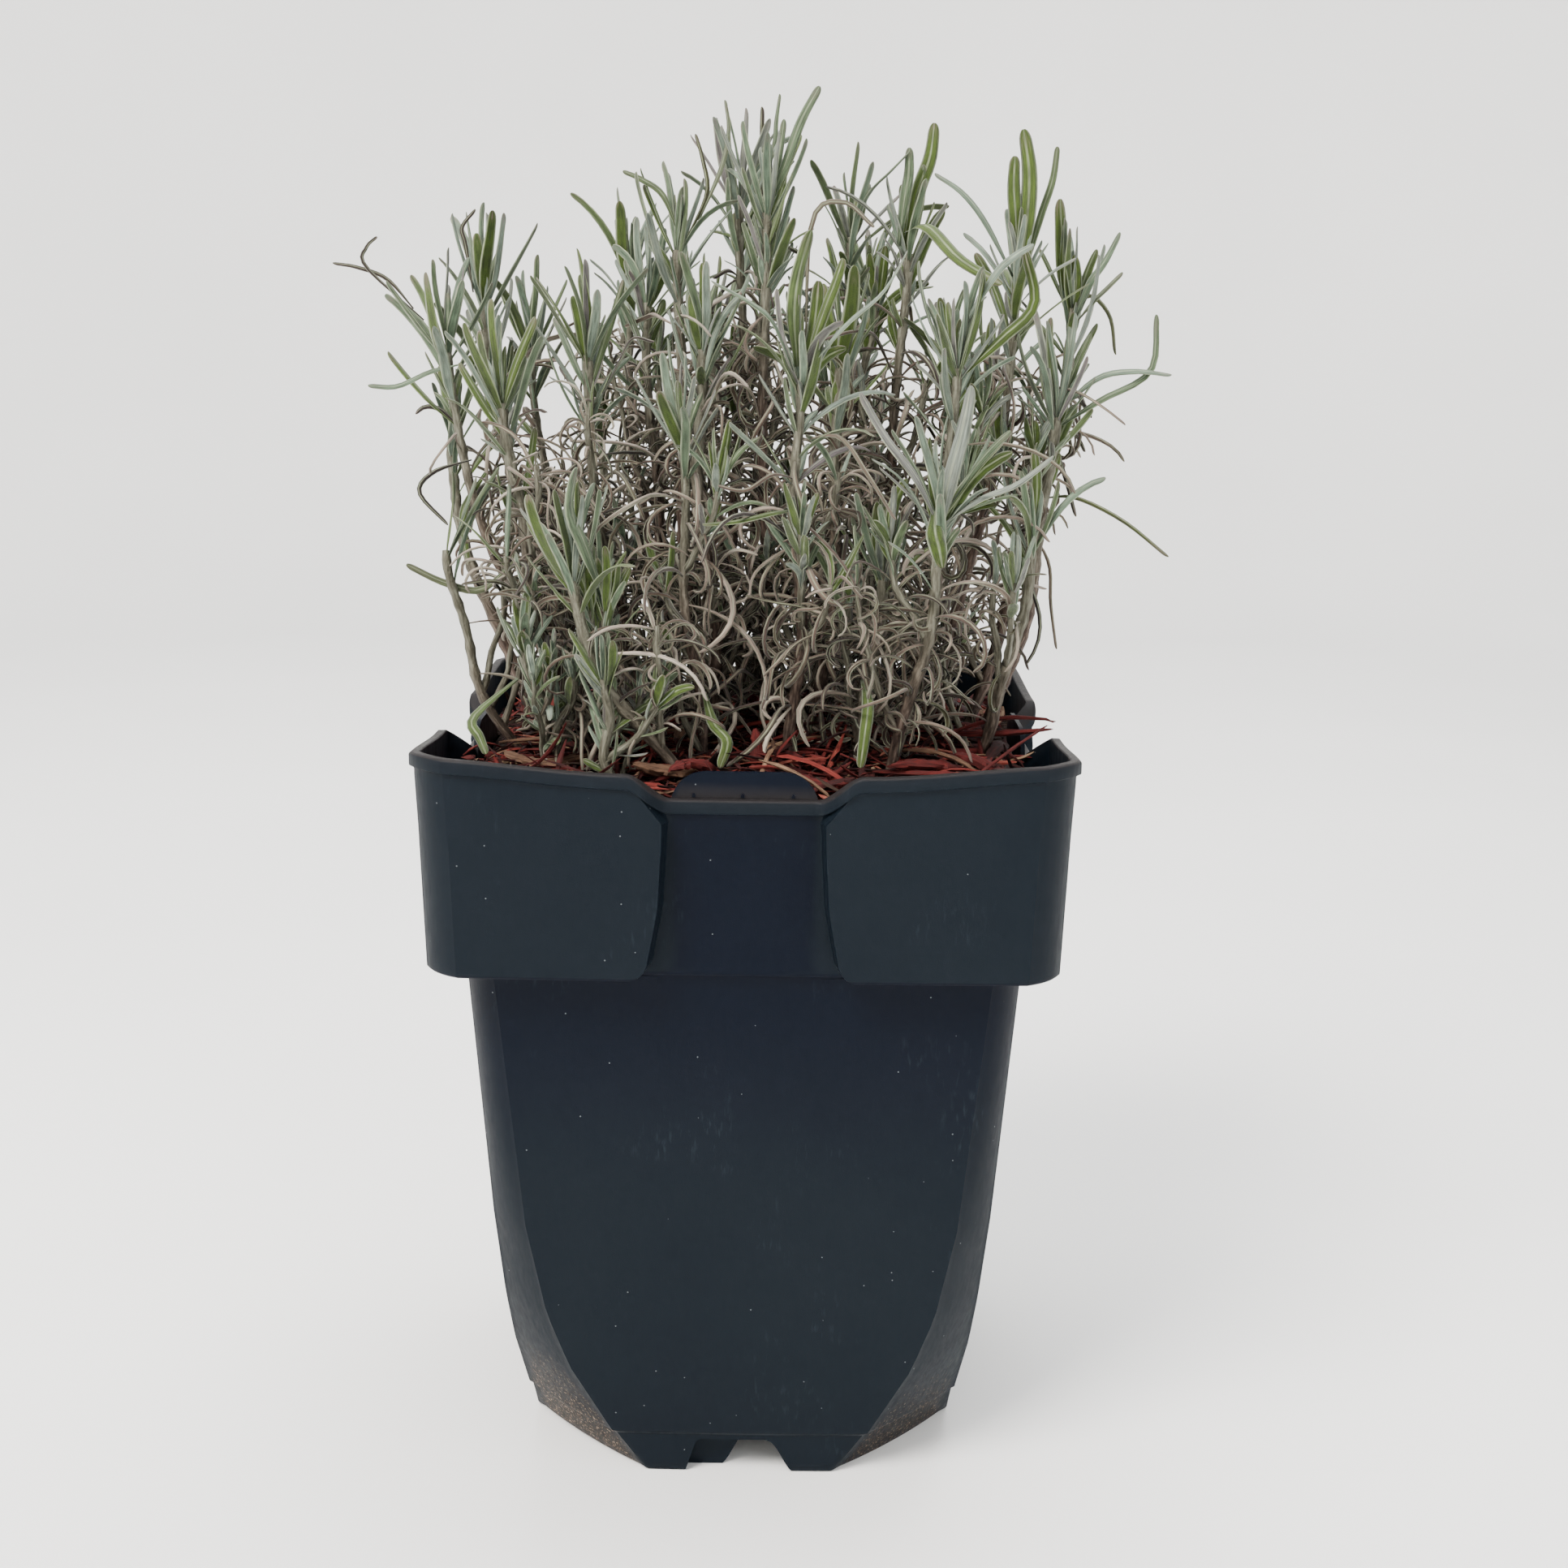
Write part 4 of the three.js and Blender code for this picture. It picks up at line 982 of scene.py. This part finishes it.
# Leaves that give the bush its outline and its front: shoot, line, width, age and tone.
SINGLE_LEAVES = [
    (1, [(-95, -5, 323), (-102, -5, 331), (-110, -6, 334), (-117, -6, 335)], 2.2, 0.9, 0.1),
    (1, [(-92, -6, 320), (-107, -8, 334), (-107, -8, 339), (-104, -8, 342)], 2.0, 0.9, 0.05),
    (2, [(-81, 12, 328), (-83, 12, 341), (-84, 12, 346), (-80, 12, 351)], 2.4, 0.9, 0.1),
    (1, [(-82, -10, 308), (-90, -12, 306), (-99, -12, 302), (-107, -12, 302)], 2.2, 0.3, 0.6),
    (33, [(-79, -10, 282), (-89, -14, 279), (-93, -16, 273), (-85, -16, 264)], 2.6, 0.95, 0.0),
    (34, [(-66, -20, 255), (-75, -22, 247), (-85, -24, 249), (-95, -26, 254)], 2.6, 0.5, 0.4),
    (33, [(-76, -5, 278), (-82, -8, 268), (-82, -8, 259), (-81, -8, 252)], 3.4, 0.2, 0.02),
    (8, [(3, -6, 350), (8, -8, 363), (12, -8, 374), (17, -8, 383)], 3.2, 0.2, 0.5),
    (7, [(0, 14, 350), (2, 14, 363), (1, 14, 372), (1, 14, 380)], 3.0, 0.8, 0.1),
    (6, [(-16, 0, 348), (-10, 0, 362), (-8, 0, 372), (-9, 0, 380)], 2.0, 0.5, 0.5),
    (7, [(-2, 12, 354), (4, 10, 367), (5, 10, 376), (6, 10, 383)], 2.2, 0.3, 0.5),
    (6, [(-22, 0, 346), (-26, 0, 355), (-32, 0, 359), (-37, 0, 361)], 2.2, 0.4, 0.4),
    (6, [(-20, 0, 342), (-14, 0, 355), (-15, 0, 364), (-17, 0, 371)], 2.4, 0.7, 0.15),
    (10, [(42, 4, 342), (45, 2, 357), (48, 2, 366), (49, 2, 375)], 4.6, 0.0, 0.12),
    (10, [(40, 3, 342), (41, -1, 354), (42, -2, 361), (42, -2, 368)], 3.4, 0.1, 0.5),
    (9, [(27, 16, 346), (31, 4, 356), (37, -2, 362), (42, -2, 367)], 2.6, 0.35, 0.5),
    (11, [(73, -2, 334), (72, -4, 348), (71, -4, 358), (71, -4, 366)], 4.2, 0.0, 0.1),
    (11, [(74, -2, 334), (75, -4, 350), (75, -4, 362), (73, -4, 373)], 5.0, 0.0, 0.16),
    (11, [(75, -1, 334), (79, 0, 350), (82, 0, 360), (83, 0, 369)], 2.4, 0.3, 0.4),
    (11, [(72, -2, 334), (64, -4, 348), (57, -6, 356), (49, -6, 361)], 2.6, 0.3, 0.7),
    (12, [(90, 14, 326), (88, 12, 336), (87, 12, 346), (86, 12, 356)], 4.6, 0.0, 0.14),
    (12, [(92, 13, 324), (95, 10, 333), (99, 10, 339), (103, 10, 347)], 2.8, 0.3, 0.6),
    (12, [(92, 12, 322), (96, 8, 328), (100, 8, 332), (104, 8, 336)], 2.4, 0.5, 0.5),
    (12, [(92, 16, 326), (97, 18, 330), (103, 18, 324), (105, 18, 313)], 2.6, 0.6, 0.3),
    (13, [(86, -12, 294), (96, -14, 301), (109, -15, 309), (110, -15, 324)], 2.8, 0.3, 0.5),
    (13, [(85, -12, 298), (95, -14, 307), (105, -16, 309), (115, -16, 308)], 2.8, 0.25, 0.7),
    (13, [(84, -6, 294), (86, -6, 286), (89, -6, 278), (92, -6, 268)], 2.6, 0.95, 0.05),
    (13, [(83, -2, 273), (91, -10, 274), (104, -14, 268), (117, -16, 258)], 2.4, 0.6, 0.15),
    (13, [(80, 5, 264), (86, 2, 254), (87, 1, 242), (89, 0, 229)], 2.0, 1.0, 0.5),
    (10, [(42, 3, 346), (47, -10, 347), (55, -22, 338), (66, -30, 331)], 4.2, 0.1, 0.2),
    (14, [(57, -30, 308), (66, -32, 317), (74, -34, 326), (71, -34, 340)], 3.8, 0.0, 0.04),
    (15, [(12, -45, 309), (11, -50, 322), (12, -50, 332), (15, -50, 343)], 4.4, 0.0, 0.3),
    (15, [(14, -46, 309), (18, -52, 322), (21, -55, 330), (23, -56, 336)], 4.0, 0.05, 0.1),
    (15, [(14, -43, 312), (15, -47, 345), (23, -50, 350), (31, -50, 344)], 2.6, 0.75, 0.5),
    (15, [(11, -46, 308), (6, -54, 320), (0, -58, 325), (-10, -60, 330)], 2.8, 0.3, 0.6),
    (15, [(14, -46, 308), (24, -54, 320), (33, -58, 328), (39, -58, 338)], 3.2, 0.2, 0.8),
    (17, [(49, -54, 270), (43, -62, 282), (35, -64, 292), (28, -64, 303)], 4.2, 0.05, 0.95),
    (17, [(51, -54, 270), (59, -62, 277), (68, -64, 281), (77, -64, 288)], 3.4, 0.15, 0.9),
    (17, [(50, -54, 270), (51, -60, 281), (54, -60, 294), (56, -58, 305)], 5.2, 0.0, 0.9),
    (17, [(48, -55, 273), (48, -61, 268), (49, -63, 264), (50, -63, 259)], 5.4, 0.0, 0.0),
    (20, [(-39, -54, 252), (-42, -61, 264), (-45, -64, 273), (-44, -60, 283)], 6.0, 0.0, 0.5),
    (15, [(12, -44, 272), (6, -54, 272), (-3, -57, 270), (-12, -58, 269)], 2.8, 0.2, 0.0),
    (25, [(31, -40, 226), (32, -54, 222), (31, -60, 214), (30, -62, 206)], 3.6, 0.0, 0.1),
    (19, [(-12, -42, 222), (-9, -53, 216), (-5, -58, 212), (-7, -60, 205)], 3.8, 0.0, 0.18),
    (21, [(-62, -46, 226), (-72, -60, 218), (-70, -63, 213), (-68, -65, 209)], 3.0, 0.3, 0.3),
    (15, [(13, -44, 290), (23, -56, 292), (31, -60, 282), (38, -60, 271)], 2.4, 0.8, 0.6),
    (15, [(12, -44, 280), (6, -54, 282), (-1, -57, 278), (-8, -58, 279)], 2.2, 0.85, 0.4),
    (14, [(55, -30, 318), (63, -36, 333), (68, -38, 338), (73, -38, 341)], 3.0, 0.15, 0.8),
    (4, [(-42, -14, 300), (-36, -28, 310), (-32, -32, 316), (-26, -34, 315)], 2.2, 0.9, 0.05),
]


def width_at(s, tip):
    """A leaf's share of its full width at s: narrow at its foot, nearly parallel, and blunt over its tip."""
    foot = 0.4 + 0.6 * smoothstep(0, 0.35, s)
    taper = 1 - 0.22 * smoothstep(0.5, 1, s)
    blunt = math.sqrt(max(0.0, 1 - max(0.0, (s - 1 + tip) / (tip * 1.04)) ** 2))
    return foot * taper * blunt


def add_leaf(shape, line, up, width, roll, twist, age, tone):
    """Adds a closed leaf along a line. roll curls its margins under and twist turns it, in radians."""
    thickness = 0.4 if age < WITHERED else 0.3
    length = sum((b - a).length for a, b in zip(line, line[1:]))
    tip = min(0.3, 0.8 * width / length)
    stations = [k / (len(line) - 1) for k in range(len(line) - 1)]
    stations = [s for s in stations if s < 1 - tip * 1.3]
    stations += [1 - tip * share for share in (1, 0.62, 0.34, 0.14, 0)]
    points = [along_line(line, s) for s in stations]
    n = len(points)
    top = (-1, -0.6, -0.2, 0, 0.2, 0.6, 1)
    under = (0.6, 0, -0.6)
    vertices, values = [], []
    normal = up
    for i, (point, s) in enumerate(zip(points, stations)):
        along = (points[min(i + 1, n - 1)] - points[max(i - 1, 0)]).normalized()
        across = along.cross(normal)
        if across.length < 0.05:
            across = along.orthogonal()
        across.normalize()
        normal = across.cross(along)
        turn = Quaternion(along, twist * s)
        side, face = turn @ across, turn @ normal
        share = width_at(s, tip)
        radius = width * share / 2 / roll
        for u in top:
            bend = roll * u
            groove = MIDRIB_GROOVE * width * share * (u == 0)
            vertices.append(point + side * radius * math.sin(bend)
                            + face * (radius * (math.cos(bend) - 1) - groove))
            values.append((s, abs(u), age, tone))
        for u in under:
            bend = roll * u
            inner = radius - thickness * share
            vertices.append(point + side * inner * math.sin(bend)
                            + face * (inner * math.cos(bend) - radius))
            values.append((s, 0.5 + 0.4 * abs(u), age, tone))
    shape.add(vertices, flipped(tube_faces(n, len(top) + len(under))), values, LEAF_MATERIAL)


def along_line(line, s):
    """The point at s, from 0 to 1, of a line given by evenly spread points."""
    place = s * (len(line) - 1)
    k = min(int(place), len(line) - 2)
    return line[k].lerp(line[k + 1], place - k)


def free_leaf(shape, rng, foot, heading, up, length, width, bend, wave, roll, twist, age, tone):
    """Grows a leaf from its foot: it sets off along heading and curls by bend, in radians, with a wave."""
    steps = 11 if abs(bend) > 1.2 else 9
    points = [foot.copy()]
    along = heading.normalized()
    across = along.cross(up).normalized()
    normal = across.cross(along)
    phase = rng.uniform(0, 2 * math.pi)
    late = rng.uniform(0.3, 1.0)
    for k in range(1, steps):
        s = (k - 0.5) / (steps - 1)
        curl = bend / (steps - 1) * (1 - late + 2 * late * s)
        sway = wave / (steps - 1) * math.cos(phase + 5 * s)
        turn = Quaternion(across, -curl) @ Quaternion(normal, sway)
        along = turn @ along
        normal = turn @ normal
        across = along.cross(normal)
        points.append(points[-1] + along * length / (steps - 1))
    for point in points:
        point.z = max(point.z, lowest(point.x, point.y))
    add_leaf(shape, points, up if abs(heading.dot(up)) < 0.95 else across, width, roll, twist, age, tone)


# Half the width of the place round the pot where leaves hang on the rim.
RIM_REACH = 90


def lowest(x, y):
    """How low a leaf can hang at a place: on the mulch, or on the pot's rim."""
    if inside_pot(x, y, 3):
        return ground(x, y) + 0.8
    return POT_HEIGHT + 1.5 if max(abs(x), abs(y)) < RIM_REACH else 0.0


def smooth_line(line, steps):
    """Evenly spread points on a smooth curve through a line's four points."""
    p = [Vector(q) for q in line]
    p = [2 * p[0] - p[1]] + p + [2 * p[-1] - p[-2]]
    points = []
    for k in range(steps):
        t = k / (steps - 1) * (len(p) - 3)
        i = min(int(t), len(p) - 4)
        t -= i
        a, b, c, d = p[i:i + 4]
        points.append(0.5 * (2 * b + (c - a) * t + (2 * a - 5 * b + 4 * c - d) * t * t
                             + (3 * b - a - 3 * c + d) * t ** 3))
    return points


class Stem:
    """A stem's line, direction and radius at s, from 0 at its foot to 1 at its tip."""

    def __init__(self, foot, tip, thick, sway, rng):
        self.foot, self.tip = foot, tip
        self.thick, self.sway = thick, sway
        self.phase = rng.uniform(0, 2 * math.pi)
        self.height = tip.z - foot.z

    def at(self, s):
        """The point at s: the stem leans out low down, rises to its tip, and is crooked on the way."""
        lean = 1 - (1 - s) ** 1.7
        x = self.foot.x + (self.tip.x - self.foot.x) * lean
        y = self.foot.y + (self.tip.y - self.foot.y) * lean
        crook = self.sway * math.sin(math.pi * s)
        return Vector((x + crook * math.sin(self.phase + 9 * s), y + crook * math.cos(self.phase + 7 * s),
                       self.foot.z + self.height * s))

    def along(self, s):
        """The direction at s."""
        return (self.at(min(1, s + 0.02)) - self.at(max(0, s - 0.02))).normalized()

    def radius(self, s):
        """Half the thickness at s."""
        return self.thick * (1 - 0.32 * s)

    def joints(self, first, widest, lowest_z):
        """Where pairs of leaves leave the stem: close together at the tip, widest apart lower down."""
        found = []
        down, gap = first, 3.2
        while down < min(self.tip.z - lowest_z, self.height * 0.92):
            found.append(1 - down / self.height)
            down += gap
            gap = min(widest, gap + 0.9)
        return found

    def add_to(self, shape, rng, joints):
        """Adds the stem as a ridged tube that swells a little at each joint."""
        rings, sides = max(8, int((self.tip - self.foot).length / 2.6)), 8
        vertices, values = [], []
        tone = rng.uniform(0, 20)
        for r in range(rings):
            s = r / (rings - 1)
            centre, along = self.at(s), self.along(s)
            across = along.cross(Vector((0, 1, 0))).normalized()
            other = along.cross(across)
            near = min((abs(s - j) * self.height for j in joints), default=9)
            swell = 1 + 0.3 * math.exp(-(near / 1.5) ** 2)
            for k in range(sides):
                angle = 2 * math.pi * k / sides
                ridge = 1 + 0.1 * math.cos(4 * angle) + rng.uniform(-0.06, 0.06)
                spoke = across * math.cos(angle) + other * math.sin(angle)
                vertices.append(centre + spoke * self.radius(s) * swell * ridge)
                young = smoothstep(70, 10, (1 - s) * self.height)
                values.append((s * self.height / 120, k / sides, young, tone))
        shape.add(vertices, flipped(tube_faces(rings, sides)), values, STEM_MATERIAL)


def spread(along, azimuth, angle):
    """A direction at an angle from the stem's, turned about it by azimuth."""
    side = along.orthogonal().normalized()
    return (Quaternion(along, azimuth) @ (Quaternion(side, angle) @ along)).normalized()


# Half the clump's width over the rim, and how much wider it is above 300 mm.
CLUMP_LOW, CLUMP_SPREAD = 60, 32
# Above this height leaves may stick out of the clump.
CLUMP_CROWN = 290


def within_clump(point):
    """Whether a point is inside the clump, which is narrow over the rim and wider above."""
    reach = CLUMP_LOW + CLUMP_SPREAD * smoothstep(220, 300, point.z)
    return max(abs(point.x), abs(point.y)) < reach


def leaf_from(shape, rng, stem, s, azimuth, angle, length, *growth):
    """Grows a leaf out of a stem's side at s, unless it would stick out of the clump low down."""
    along = stem.along(s)
    heading = spread(along, azimuth, math.radians(angle))
    foot = stem.at(s) + (heading - along * heading.dot(along)) * stem.radius(s) * 0.6
    if within_clump(foot + heading * length * 0.7) or foot.z > CLUMP_CROWN:
        free_leaf(shape, rng, foot, heading, along, length, *growth)


def leafy(shape, rng, stem, size, width, kind, dies_at):
    """Clothes a stem with a tuft of upright leaves, pairs of fresh ones, and dead ones low down.

    dies_at is how far below the tip the leaves start to be dead and curled, in millimetres.
    """
    turn = rng.uniform(0, math.pi)

    def fresh(s, azimuth, angle, grown, bend, age):
        """A few leaves are broad, flat and green. Most are narrow, grey and rolled under."""
        broad = rng.random() < BROAD_SHARE
        wide = width * (rng.uniform(0.95, 1.35) if broad else rng.uniform(0.75, 1.05))
        wide *= min(1, 0.6 + 0.5 * grown)
        roll = rng.uniform(0.35, 0.8) if broad else rng.uniform(0.8, 1.4)
        tone = rng.uniform(0, 0.3) if broad else rng.uniform(0.35, 1)
        leaf_from(shape, rng, stem, s, azimuth, angle, size * grown, wide, bend, 0.4, roll,
                  rng.uniform(-0.8, 0.8), age, tone)

    def dead(s, azimuth, angle, grown, age):
        """A dead leaf shrivels to a tube and curls down and back."""
        leaf_from(shape, rng, stem, s, azimuth, angle, size * grown, width * rng.uniform(0.58, 0.92),
                  rng.triangular(0.6, 5.2, 2.0), rng.uniform(0.3, 2.8), rng.uniform(1.6, 2.4),
                  rng.uniform(-2, 2), age, rng.random())

    for k in range(rng.randint(7, 10)):
        if dies_at < DRY:
            dead(1 - 0.8 * k / stem.height, k * 2.4 + turn, rng.uniform(5, 100), rng.uniform(0.5, 1.2),
                 rng.uniform(0.75, 1))
        else:
            fresh(1 - 0.4 * k / stem.height, k * 2.4 + turn, 4 + 3.6 * k + rng.uniform(-4, 6),
                  rng.uniform(0.45, 0.85), rng.uniform(-0.35, 0.35), 0.3 * rng.random())
    joints = stem.joints(2.5, *(LOW_JOINTS if kind == "low" else TALL_JOINTS))
    for j, s in enumerate(joints):
        depth = (1 - s) * stem.height
        dying = smoothstep(0.6 * dies_at, 1.3 * dies_at, depth + rng.uniform(-6, 6))
        for side in (0, math.pi):
            azimuth = turn + j * math.pi / 2 + side + rng.uniform(-0.4, 0.4)
            if rng.random() > dying:
                # Leaves stand up near the tip and open out lower down.
                angle = 18 + 34 * smoothstep(0, 45, depth) + rng.uniform(-10, 14)
                fresh(s, azimuth, angle, rng.uniform(0.5, 1.0), rng.triangular(-0.5, 1.4, 0.1), 0.4 * dying)
            else:
                dead(s, azimuth, rng.uniform(20, 110), rng.uniform(0.7, 1.3), rng.uniform(0.75, 1))
        for _ in range(rng.choice((1, 2, 2, 3)) if depth > 8 else 0):
            azimuth = turn + j * math.pi / 2 + rng.choice((0, math.pi)) + rng.uniform(-0.9, 0.9)
            if rng.random() > dying:
                fresh(s, azimuth, rng.uniform(8, 40), rng.uniform(0.25, 0.5), rng.uniform(-0.3, 0.8),
                      0.4 * dying)
            else:
                dead(s, azimuth, rng.uniform(20, 130), rng.uniform(0.3, 0.8), rng.uniform(0.7, 1))
    stem.add_to(shape, rng, joints)


def grow_shoot(number, foot, tip, kind, leaf_length, leaf_width_mm, seed):
    """One shoot: the main stem, short side stems and their leaves, then the leaves placed singly."""
    rng = random.Random(seed * 1000 + number)
    shape = Shape()
    stem = Stem(Vector((*foot, PLANTED)), Vector(tip), rng.uniform(1.3, 1.7), rng.uniform(0.8, 2.2), rng)
    size = leaf_length * (0.6 if kind == "low" else 1)
    leafy(shape, rng, stem, size, leaf_width_mm, kind, DIES_AT[kind])
    for _ in range(3 if kind != "low" else 5):
        s = rng.uniform(0.16, 0.68)
        start_at = stem.at(s)
        azimuth = rng.uniform(0, 2 * math.pi)
        out, rise = rng.uniform(7, 18), rng.uniform(16, 48)
        rise = min(rise, (1 - s) * stem.height * 0.75)
        side_tip = start_at + Vector((math.cos(azimuth) * out, math.sin(azimuth) * out, rise))
        if not within_clump(side_tip):
            side_tip = start_at + Vector((-math.cos(azimuth) * out, -math.sin(azimuth) * out, rise))
        side_stem = Stem(start_at, side_tip, rng.uniform(0.75, 1.0), rng.uniform(0.2, 1.0), rng)
        dry = s < 0.6 and kind != "low" and rng.random() < 0.8
        leafy(shape, rng, side_stem, size * rng.uniform(0.5, 0.75),
              leaf_width_mm * rng.uniform(0.65, 0.85), kind, DRY_SIDE_DIES_AT if dry else SIDE_DIES_AT)
    for shoot, line, width, age, tone in SINGLE_LEAVES:
        if shoot == number:
            add_leaf(shape, smooth_line(line, 14), Vector((0, -0.6, 0.8)), width, 0.7 + 1.2 * (age > 0.55),
                     rng.uniform(-0.5, 0.5), age, tone)
    return shape


class LAVENDER_OT_shoots(bpy.types.Operator):
    """Grow the lavender's leafy shoots out of the compost"""

    bl_idname = "lavender.shoots"
    bl_label = "Leafy Shoots"

    def execute(self, context):
        settings = context.scene.lavender_foliage
        materials = [lavender_stem(), felted_leaf()]  # in the order of STEM_MATERIAL and LEAF_MATERIAL
        for number, (foot, tip, kind) in enumerate(SHOOTS, 1):
            shape = grow_shoot(
                number, foot, tip, kind, settings.leaf_length, settings.leaf_width, settings.seed)
            shoot = shape.object(f"leafy_shoot_{number:02d}", materials)
            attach(shoot, "root")
            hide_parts(f"shoot_{number:02d}")
        return {"FINISHED"}


# ---------- Stage ----------

def soft_light(name, place, aim, size, power, colour):
    """A large square lamp that points at a place."""
    lamp = bpy.data.lights.new(name, "AREA")
    lamp.shape = "SQUARE"
    lamp.size = size
    lamp.energy = power
    lamp.color = linear(colour)[:3]
    made = bpy.data.objects.new(name, lamp)
    made.location = place
    made.rotation_euler = (Vector(aim) - Vector(place)).to_track_quat("-Z", "Y").to_euler()
    bpy.context.scene.collection.objects.link(made)


# The sweep, in millimetres: its flat floor's radius, its bend's radius, its height and its gap below the pot.
FLOOR_RADIUS, BEND, WALL_TOP, FLOOR_GAP = 1700, 500, 2400, 0.05
SWEEP_SIDES = 72
# The camera's sensor and focal length in millimetres, and how far right of the pot's middle it is in metres.
SENSOR, FOCAL_LENGTH, CAMERA_X = 36, 45.28, 0.010


def sweep():
    """A round studio floor that bends up into a wall all round."""
    profile = [(400, 0), (900, 0), (1400, 0), (FLOOR_RADIUS, 0)]
    for k in range(1, 9):
        a = k * math.pi / 16
        profile.append((FLOOR_RADIUS + BEND * math.sin(a), BEND - BEND * math.cos(a)))
    profile += [(FLOOR_RADIUS + BEND, WALL_TOP / 2), (FLOOR_RADIUS + BEND, WALL_TOP)]
    angles = [2 * math.pi * k / SWEEP_SIDES for k in range(SWEEP_SIDES)]
    rings = [[(r * math.cos(a), r * math.sin(a), z - FLOOR_GAP) for a in angles] for r, z in profile]
    faces = flipped(grid_faces(len(rings), SWEEP_SIDES))
    centre = SWEEP_SIDES * len(rings)
    faces += [(centre, k, (k + 1) % SWEEP_SIDES) for k in range(SWEEP_SIDES)]
    shape = Shape()
    shape.add([p for ring in rings for p in ring] + [(0, 0, -FLOOR_GAP)], faces)
    return shape


class LAVENDER_OT_stage(bpy.types.Operator):
    """Set up the pale floor, the soft lights and the camera"""

    bl_idname = "lavender.stage"
    bl_label = "Stage"

    def execute(self, context):
        settings = context.scene.lavender_stage
        floor = sweep().object("studio_sweep", [painted_sweep()])
        strength = settings.light
        soft_light("key", (-0.8, -1.0, 1.7), (0, 0, 0.2), 0.8, 85 * strength, "#fffaf4")
        soft_light("fill", (1.2, -1.0, 0.9), (0, 0, 0.2), 1.4, 8 * strength, "#f3f7ff")
        soft_light("top", (0.1, 0.5, 1.9), (0, 0, 0.25), 1.3, 48 * strength, "#ffffff")
        world = bpy.data.worlds.new("soft sky")
        world.use_nodes = True
        background = world.node_tree.nodes["Background"]
        background.inputs["Color"].default_value = linear("#f4f7fb")
        background.inputs["Strength"].default_value = 0.5 * strength
        context.scene.world = world
        lens = bpy.data.cameras.new("camera")
        lens.sensor_width = SENSOR
        lens.lens = FOCAL_LENGTH
        camera = bpy.data.objects.new("camera", lens)
        camera.location = (CAMERA_X, -settings.distance, settings.height)
        pitched = Quaternion((1, 0, 0), math.pi / 2 - settings.pitch)
        camera.rotation_euler = (pitched @ Quaternion((0, 0, 1), settings.roll)).to_euler()
        context.scene.collection.objects.link(camera)
        context.scene.camera = camera
        return {"FINISHED"}


# ---------- Panel and registration ----------

class LAVENDER_PT_panel(bpy.types.Panel):
    """Lists the lavender's settings and the operators that build it"""

    bl_label = "Potted Lavender"
    bl_idname = "LAVENDER_PT_panel"
    bl_space_type = "VIEW_3D"
    bl_region_type = "UI"
    bl_category = "Lavender"

    def draw(self, context):
        for operator, settings in (
                ("lavender.stage", context.scene.lavender_stage),
                ("lavender.pot", context.scene.lavender_pot),
                ("lavender.mulch", context.scene.lavender_mulch),
                ("lavender.shoots", context.scene.lavender_foliage)):
            box = self.layout.box()
            box.operator(operator)
            for name in settings.__annotations__:
                box.prop(settings, name)


CLASSES = (
    PotSettings, MulchSettings, FoliageSettings, StageSettings, LAVENDER_OT_stage, LAVENDER_OT_pot,
    LAVENDER_OT_mulch, LAVENDER_OT_shoots, LAVENDER_PT_panel,
)


def register():
    """Adds the classes and the settings."""
    for cls in CLASSES:
        bpy.utils.register_class(cls)
    bpy.types.Scene.lavender_pot = PointerProperty(type=PotSettings)
    bpy.types.Scene.lavender_mulch = PointerProperty(type=MulchSettings)
    bpy.types.Scene.lavender_foliage = PointerProperty(type=FoliageSettings)
    bpy.types.Scene.lavender_stage = PointerProperty(type=StageSettings)


def unregister():
    """Takes the settings and the classes away again."""
    for name in ("lavender_pot", "lavender_mulch", "lavender_foliage", "lavender_stage"):
        delattr(bpy.types.Scene, name)
    for cls in reversed(CLASSES):
        bpy.utils.unregister_class(cls)


def main():
    """Builds everything in the scene."""
    register()
    bpy.ops.lavender.stage()
    bpy.ops.lavender.pot()
    bpy.ops.lavender.mulch()
    bpy.ops.lavender.shoots()


if __name__ == "__main__":
    main()
